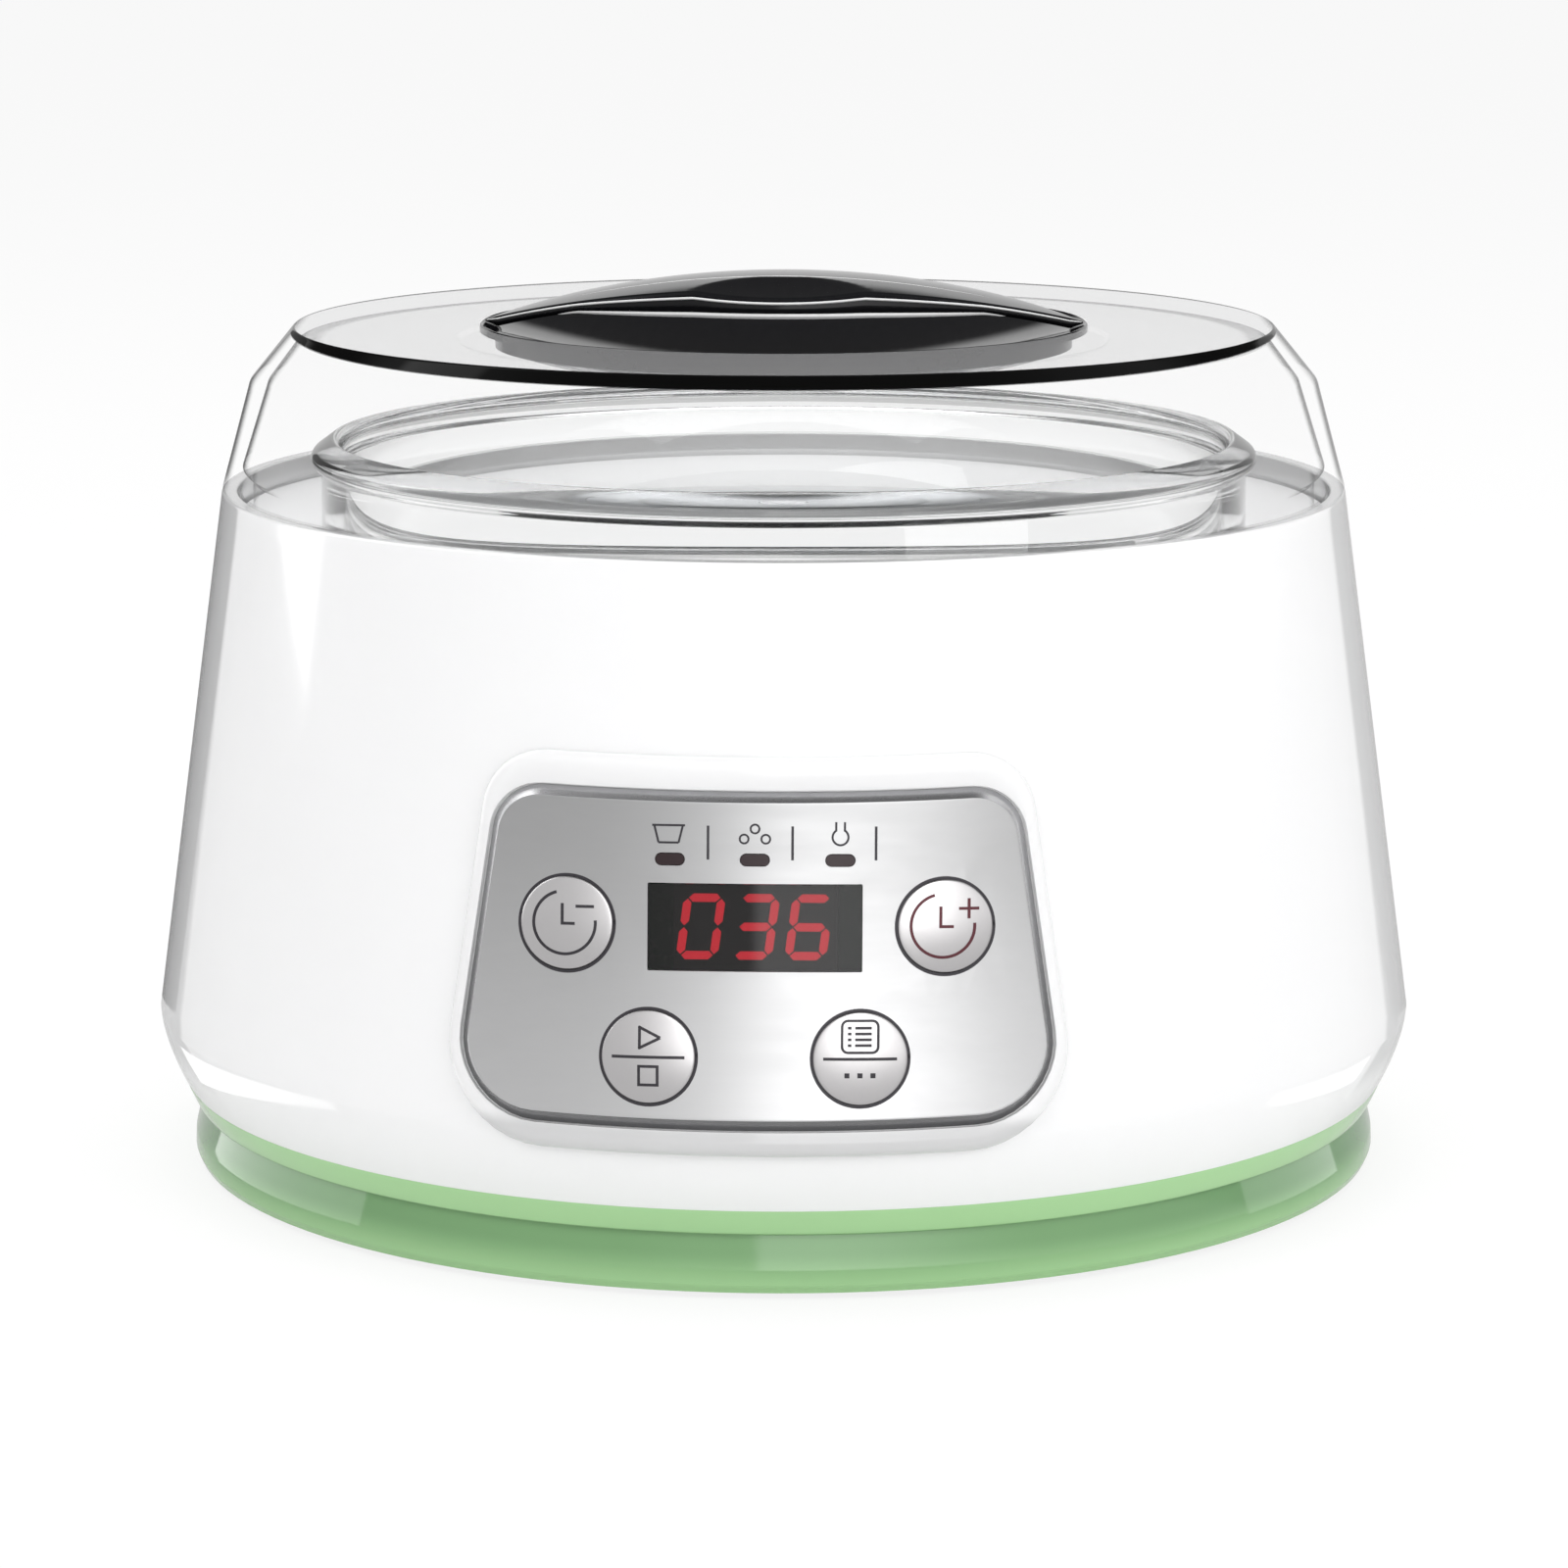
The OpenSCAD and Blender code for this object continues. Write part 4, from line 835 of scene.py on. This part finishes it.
bevel = [(1.55, PLATE_N), (1.4, PLATE_N - 0.03), (0.12, PLATE_BACK_N + 0.14), (0, PLATE_BACK_N)]
plate_rows = np.concatenate([filled(PLATE, 1.7, PLATE_N)[::-1],
                             np.stack([on_side(outline(PLATE, inset), n) for inset, n in bevel]),
                             filled(PLATE, 0.1, PLATE_BACK_N)])
plate = solid("metal_plate", [(plate_rows, False, True)], 25)
# Painted highlight: the bevel ring's colour rises to 2.5 times itself towards its top.
EDGE_METAL = rubbed("panel_edge", (0.27, 0.27, 0.275), 0.25, fade=2.5)
ring_rows = [(1.45, PLATE_N - 0.02), (1.4, PLATE_N + 0.01), (0.1, PLATE_BACK_N + 0.2),
             (-0.03, PLATE_BACK_N), (0.5, PLATE_BACK_N - 0.05)]
ring_grid = np.stack([on_side(outline(PLATE, inset), n) for inset, n in ring_rows])
edge_ring = solid("plate_bevel", [(ring_grid, True, True)], 25)
dress(edge_ring, "root", "panel_metal", (), EDGE_METAL)
window_flat = rounded([(-WINDOW[0] / 2, -WINDOW[1] / 2, 0.2), (WINDOW[0] / 2, -WINDOW[1] / 2, 0.2),
                       (WINDOW[0] / 2, WINDOW[1] / 2, 0.2), (-WINDOW[0] / 2, WINDOW[1] / 2, 0.2)])
punches = [punch("hole_" + name, arc(0, 0, BUTTON_R + BUTTON_GAP, 0, 360, 96)[:-1], *place)
           for name, place in BUTTONS.items()]
punches += [punch("hole_lamp", pill(LAMP[0] + 0.2, LAMP[1] + 0.2), k * LAMP_PITCH, LAMP_V)
            for k in (-1, 0, 1)]
punches.append(punch("hole_window", window_flat, 0, WINDOW_V))
cut(plate, punches, 25)
dress(plate, "root", "panel_metal", ["front_panel"])

# %% [markdown]
# Prints, bars and the window share one shape: a strip with a flat section carried along a
# path. `strip` lays it on any surface given as a function of the panel's flat coordinates.

# %% Strips
def strip(path, width, lower, upper, surface):
    """Closed strip: the path is set out in even steps, and each step has four corners, half a
    width to its sides and at two heights over the surface. Its ends close on their middles."""
    path = np.asarray(path, float)
    run = np.concatenate([[0], np.cumsum(np.linalg.norm(np.diff(path, axis=0), axis=1))])
    even = np.linspace(0, run[-1], max(2, int(run[-1] / 0.25)) + 1)
    path = np.stack([np.interp(even, run, path[:, 0]), np.interp(even, run, path[:, 1])], -1)
    ahead_by = np.gradient(path, axis=0)
    ahead_by /= np.linalg.norm(ahead_by, axis=1, keepdims=True)
    aside = np.stack([-ahead_by[:, 1], ahead_by[:, 0]], -1) * width / 2
    flat = np.stack([path - aside, path + aside, path + aside, path - aside], 1)
    lift = np.broadcast_to([lower, lower, upper, upper], flat.shape[:2])
    rows = surface(flat[..., 0], flat[..., 1], lift)
    tips = [np.repeat(rows[k].mean(0)[None, None], 4, 1) for k in (0, -1)]
    return np.concatenate([tips[0], rows, tips[1]]), False, True


def line(x0, v0, x1, v1, steps=8):
    """Straight path between two flat points."""
    return np.linspace([x0, v0], [x1, v1], steps)


middle = line(-14.8, WINDOW_V, 14.8, WINDOW_V, 61)
window = solid("window_pane", [strip(middle, 12.0, PLATE_BACK_N, PLATE_N - 0.02, laid)])
dress(window, "root", "smoked_window", ["display_window"])

# %% [markdown]
# Each button is a metal cap with a shallow dome that faces the way the cone does there, while
# the cap slides along the panel's own axis. Under the plate it has a stop flange and a stem. So
# its rows are circles in the panel's flat frame, and only the dome's rows take their height
# from a sphere that leans with the cone.

# %% Buttons
DOME_R, CROWN_N, CAP_EDGE = 30.0, PLATE_N + 0.8, 0.3
quarter = np.linspace(0, np.pi / 2, 8)[1:]


def dome(place):
    """Function of (x, v) that gives w on the sphere whose crown stands at `place`: the
    centre lies DOME_R behind the crown along the cone's normal."""
    px, pv = place
    x, y, z = on_side(np.array([px, pv * math.cos(TILT)]), CROWN_N - DOME_R)
    back, up = -y - PANEL_R, z - PANEL_Z
    v0 = up * math.cos(TILT) - back * math.sin(TILT)
    w0 = back * math.cos(TILT) + up * math.sin(TILT)
    return lambda u, v: w0 + np.sqrt(DOME_R ** 2 - (u - x) ** 2 - (v - v0) ** 2)


def cap(name, place):
    """Button: dome rows from the middle outwards, a small round edge, side, flange, stem."""
    height = dome(place)
    crown = float(height(np.array(place[0]), np.array(place[1])))
    rho = np.concatenate([np.linspace(0, BUTTON_R - CAP_EDGE, 14),
                          BUTTON_R - CAP_EDGE + CAP_EDGE * np.sin(quarter)])
    drop = np.concatenate([np.zeros(14), CAP_EDGE - CAP_EDGE * np.cos(quarter)])
    a = np.linspace(0, 2 * np.pi, 96, endpoint=False)
    x, v = place[0] + rho[:, None] * np.cos(a), place[1] + rho[:, None] * np.sin(a)
    face = ahead(x, v, height(x, v) - drop[:, None])
    back = np.array([(BUTTON_R, crown - 5.2), (BUTTON_R + 1.2, crown - 5.3),
                     (BUTTON_R + 1.2, crown - 6.4), (2, crown - 6.5), (2, -9.25), (0, -9.25)])
    far, w = back[:, :1], back[:, 1:]
    hidden = ahead(place[0] + far * np.cos(a), place[1] + far * np.sin(a), w + 0 * a)
    button = solid(name + "_cap", [(np.concatenate([face, hidden]), False, True)])
    dress(button, name, "button_metal", [name + "_button"])


for name, place in BUTTONS.items():
    cap(name, place)

# %% [markdown]
# The buttons' signs are printed: clock faces with a minus and a plus, a play and a stop sign,
# a list with three dots. They are strips a few hundredths of a millimetre thick, laid on the
# domes, and they ride on the buttons. A picture would do for a flat sign, but strips stay crisp.

# %% Printed signs
PRINT_H = 0.03


def print_on(name, strokes, surface, body, ink):
    """One piece of ink from (path, width) strokes."""
    obj = solid(name, [strip(path, width, -0.05, PRINT_H, surface) for path, width in strokes])
    obj.data.materials.append(ink)
    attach(obj, body)
    print(f"{name}: {len(strokes)} strokes on {body}")


def sign(name, place, strokes, ink=INK):
    """Strokes around a button's middle, laid on its dome."""
    height = dome(place)
    moved = [(np.asarray(path) + place, width) for path, width in strokes]
    print_on(name + "_sign", moved, lambda x, v, lift: ahead(x, v, height(x, v) + lift), name, ink)


PEN, FINE = 0.42, 0.4
clock = arc(-0.3, 0.1, 4.4, 105, 365, 48)
hands = [(line(-0.6, 2.8, -0.6, 0.0), PEN), (line(-0.81, 0.0, 1.2, 0.0), PEN)]
sign("time_minus", BUTTONS["time_minus"], [(clock, PEN), *hands, (line(1.3, 2.4, 3.9, 2.4), PEN)])
sign("time_plus", BUTTONS["time_plus"], [(clock, PEN), *hands, (line(1.9, 2.5, 4.7, 2.5), PEN),
                                         (line(3.3, 1.1, 3.3, 3.9), PEN)], INK_RED)
divider = (line(-5.1, 0, 5.1, 0), PEN)
play = [(line(-1.2, 1.1, -1.2, 4.3), FINE), (line(-1.35, 4.2, 1.7, 2.7), FINE),
        (line(1.7, 2.7, -1.35, 1.2), FINE)]
stop = [(line(-1.5, -3.9, 1.5, -3.9), FINE), (line(-1.5, -1.3, 1.5, -1.3), FINE),
        (line(-1.3, -3.9, -1.3, -1.3), FINE), (line(1.3, -3.9, 1.3, -1.3), FINE)]
sign("start", BUTTONS["start"], [divider, *play, *stop])
sheet = rounded([(-2.5, 0.9, 0.8), (2.5, 0.9, 0.8), (2.5, 5.3, 0.8), (-2.5, 5.3, 0.8)], 6)
frame_line = (np.concatenate([sheet, sheet[:3]]), 0.36)
rows = [(line(-0.7, v, 1.6, v, 4), FINE) for v in (1.9, 2.7, 3.5, 4.3)]
dots = [(line(-1.7, v, -1.2, v, 4), FINE) for v in (1.9, 2.7, 3.5, 4.3)]
more = [(line(x - 0.35, -2.3, x + 0.35, -2.3, 4), 0.7) for x in (-1.8, 0, 1.8)]
sign("function", BUTTONS["function"], [divider, frame_line, *rows, *dots, *more])

# %% [markdown]
# The plate's own prints are a cup, seeds and a bottle over the lamps, thin lines between them,
# and a ring round each button. They lie on the plate, which follows the cone.

# %% Prints on the plate
MARK, FINE_MARK = 0.3, 0.28


def on_plate(x, v, lift):
    """Point of the plate's face over (x, v) of the flat frame, lifted by `lift`."""
    return laid(x, v, PLATE_N + lift)


rings = [(arc(px, pv, BUTTON_R + 0.2, 0, 365, 100), 0.40) for px, pv in BUTTONS.values()]
bars = [(line(x, 13.5, x, 18.2), 0.36) for x in (-6.5, 5.2, 16.7)]
cup = [(line(-14.0, 18.2, -13.4, 15.8), MARK), (line(-13.4, 15.8, -10.6, 15.8), MARK),
       (line(-10.6, 15.8, -10.0, 18.2), MARK), (line(-14.3, 18.2, -9.7, 18.2), MARK)]
seeds = [(arc(x, v, 0.62, 0, 370, 20), FINE_MARK) for x, v in ((-1.5, 16.4), (1.5, 16.4), (0, 17.8))]
bottle = [(arc(11.8, 16.7, 1.1, 125, 415, 28), MARK), (line(11.2, 17.5, 11.2, 18.8), MARK),
          (line(12.4, 17.5, 12.4, 18.8), MARK)]
print_on("panel_marks", bars + cup + seeds + bottle, on_plate, "root", INK)
print_on("button_rings", rings, on_plate, "root", INK)

# %% [markdown]
# The studio has a pale floor that keeps the appliance's shadow, and a white world. What glossy
# and clear surfaces see of the world depends on the direction: a wide soft light ahead on the
# right, a narrow strip on the left, a dim left side, a dark sky high at the back. White gloss in
# an even white room would look flat, and this draws its curves and the edges of clear shells.

# %% Floor and world
def floor_finish(t):
    """Diffuse floor that looks nearly white to the camera and evenly lit in gloss."""
    speck = t.noise(40.0, 2.0)
    pale = t.tint(speck, (0.9, 0.9, 0.9), (0.88, 0.88, 0.88))
    matte = t.node("ShaderNodeBsdfDiffuse", None, {0: pale}).outputs[0]
    path = t.node("ShaderNodeLightPath")
    seen, mirrored = (Number(t, path.outputs[f"Is {kind} Ray"]) for kind in ("Camera", "Glossy"))
    glow = t.node("ShaderNodeEmission", None, {1: seen + mirrored * 0.65}).outputs[0]
    return t.mix(seen * 0.85 + mirrored, matte, glow)


floor_mesh = bpy.data.meshes.new("floor")
floor_mesh.from_pydata([(-6, -6, 0), (6, -6, 0), (6, 6, 0), (-6, 6, 0)], [], [(0, 1, 2, 3)])
floor_mesh.materials.append(finish("floor_pale", floor_finish))
floor = bpy.data.objects.new("floor", floor_mesh)
bpy.context.scene.collection.objects.link(floor)

AMBIENT = 0.55


def from_to(azimuth, start, end, blur):
    """1 where the azimuth lies between two angles in degrees."""
    return azimuth.between(math.radians(start), math.radians(end), blur)


world = bpy.data.worlds.new("studio")
bpy.context.scene.world = world
world.use_nodes = True
sky = Tree(world.node_tree)
sky_x, sky_y, sky_z = sky.axes("Generated")
azimuth = sky_x.math("ARCTAN2", sky_x, sky_y * -1.0)
soft_light = azimuth.ramp(math.radians(-4), math.radians(-1)) * sky_z.between(-0.25, 0.75, 0.1)
soft_light = soft_light * azimuth.ramp(math.radians(10), math.radians(52), 1.0, 0.0)
strip_light = from_to(azimuth, -118, -104, 0.05)
dim_left = from_to(azimuth, -88, -30, 0.35)
front = 1.0 + soft_light * 1.8 + strip_light * 2.4 - dim_left * 0.30
front = front * sky_z.ramp(0.75, 0.92, 1.0, 0.15)
high_back = sky_z.ramp(0.20, 0.30, 0.72, 0.05)
behind = sky_y.ramp(0.35, 0.6)
seen_in_gloss = front * (1 - behind) + high_back * behind
upward = sky_z.ramp(0.28, 0.50, 0.0, 1.6)
seen_through = upward.math("MAXIMUM", upward, sky_y.ramp(0.60, 0.88, 0.10, 1.0))
ambient = AMBIENT + sky_z.ramp(0.3, 0.8, 0.0, 0.15)
path = sky.node("ShaderNodeLightPath")
is_camera, is_glossy, is_through = (Number(sky, path.outputs[f"Is {kind} Ray"])
                                    for kind in ("Camera", "Glossy", "Transmission"))
reflected = is_glossy * seen_in_gloss + (1 - is_glossy) * ambient
bent = is_through * seen_through + (1 - is_through) * reflected
background = sky.node("ShaderNodeBackground", None,
                      {0: (1, 1, 1, 1), 1: is_camera + (1 - is_camera) * bent})
sky.node("ShaderNodeOutputWorld", None, {0: background.outputs[0]})
print("world ready")

# %% [markdown]
# Three large lamps light the body evenly, and the strongest stands overhead, for the deck inside the lid.
# Small cards beside the appliance, seen only in its gloss, draw a grey edge down its sides, over the
# casing's painted grey outline, and windows of light on the green base.

# %% Lamps and cards
def soft_lamp(name, place, aim, size, power):
    """Square area lamp that looks at `aim`."""
    data = bpy.data.lights.new(name, "AREA")
    data.size, data.energy = size, power
    lamp = bpy.data.objects.new(name, data)
    lamp.location = place
    lamp.rotation_euler = (Vector(place) - Vector(aim)).to_track_quat("Z", "Y").to_euler()
    lamp.visible_glossy = False
    bpy.context.scene.collection.objects.link(lamp)


def card(name, start, end, side, shade):
    """Flat card on the line from start to end, carried along `side`; seen only in gloss, with
    `shade` as its brightness."""
    start, end, side = Vector(start), Vector(end), Vector(side)
    mesh = bpy.data.meshes.new(name)
    mesh.from_pydata([start, end, end + side, start + side], [], [(0, 1, 2, 3)])
    mesh.materials.append(finish(name, lambda t: t.node(
        "ShaderNodeEmission", None, {0: (shade, shade, shade, 1), 1: 1.0}).outputs[0]))
    obj = bpy.data.objects.new(name, mesh)
    for kind in ("camera", "diffuse", "transmission", "shadow"):
        setattr(obj, "visible_" + kind, False)
    bpy.context.scene.collection.objects.link(obj)


soft_lamp("key", (-0.7, -0.9, 1.1), (0, 0, 0.06), 0.9, 5.4)
soft_lamp("fill", (0.9, -0.8, 0.7), (0, 0, 0.06), 0.8, 5.4)
soft_lamp("top", (0, 0.2, 1.4), (0, 0, 0.1), 1.2, 11.0)
card("card_left", (-0.104, 0.09, 0.001), (-0.175, 0.09, 0.001), (0, 0, 0.16), 0.20)
card("card_right", (0.104, 0.09, 0.001), (0.160, 0.09, 0.001), (0, 0, 0.16), 0.50)
card("glow_left", (-0.107, -0.076, 0.0004), (-0.109, -0.006, 0.0004), (0, 0, 0.011), 2.0)
card("glow_right", (0.110, -0.052, 0.0004), (0.115, -0.006, 0.0004), (0, 0, 0.010), 1.7)
print("studio ready")

# %% [markdown]
# The view transform is left plain, so that colours render as they are written.

# %% Finish
bpy.context.scene.view_settings.view_transform = "Standard"
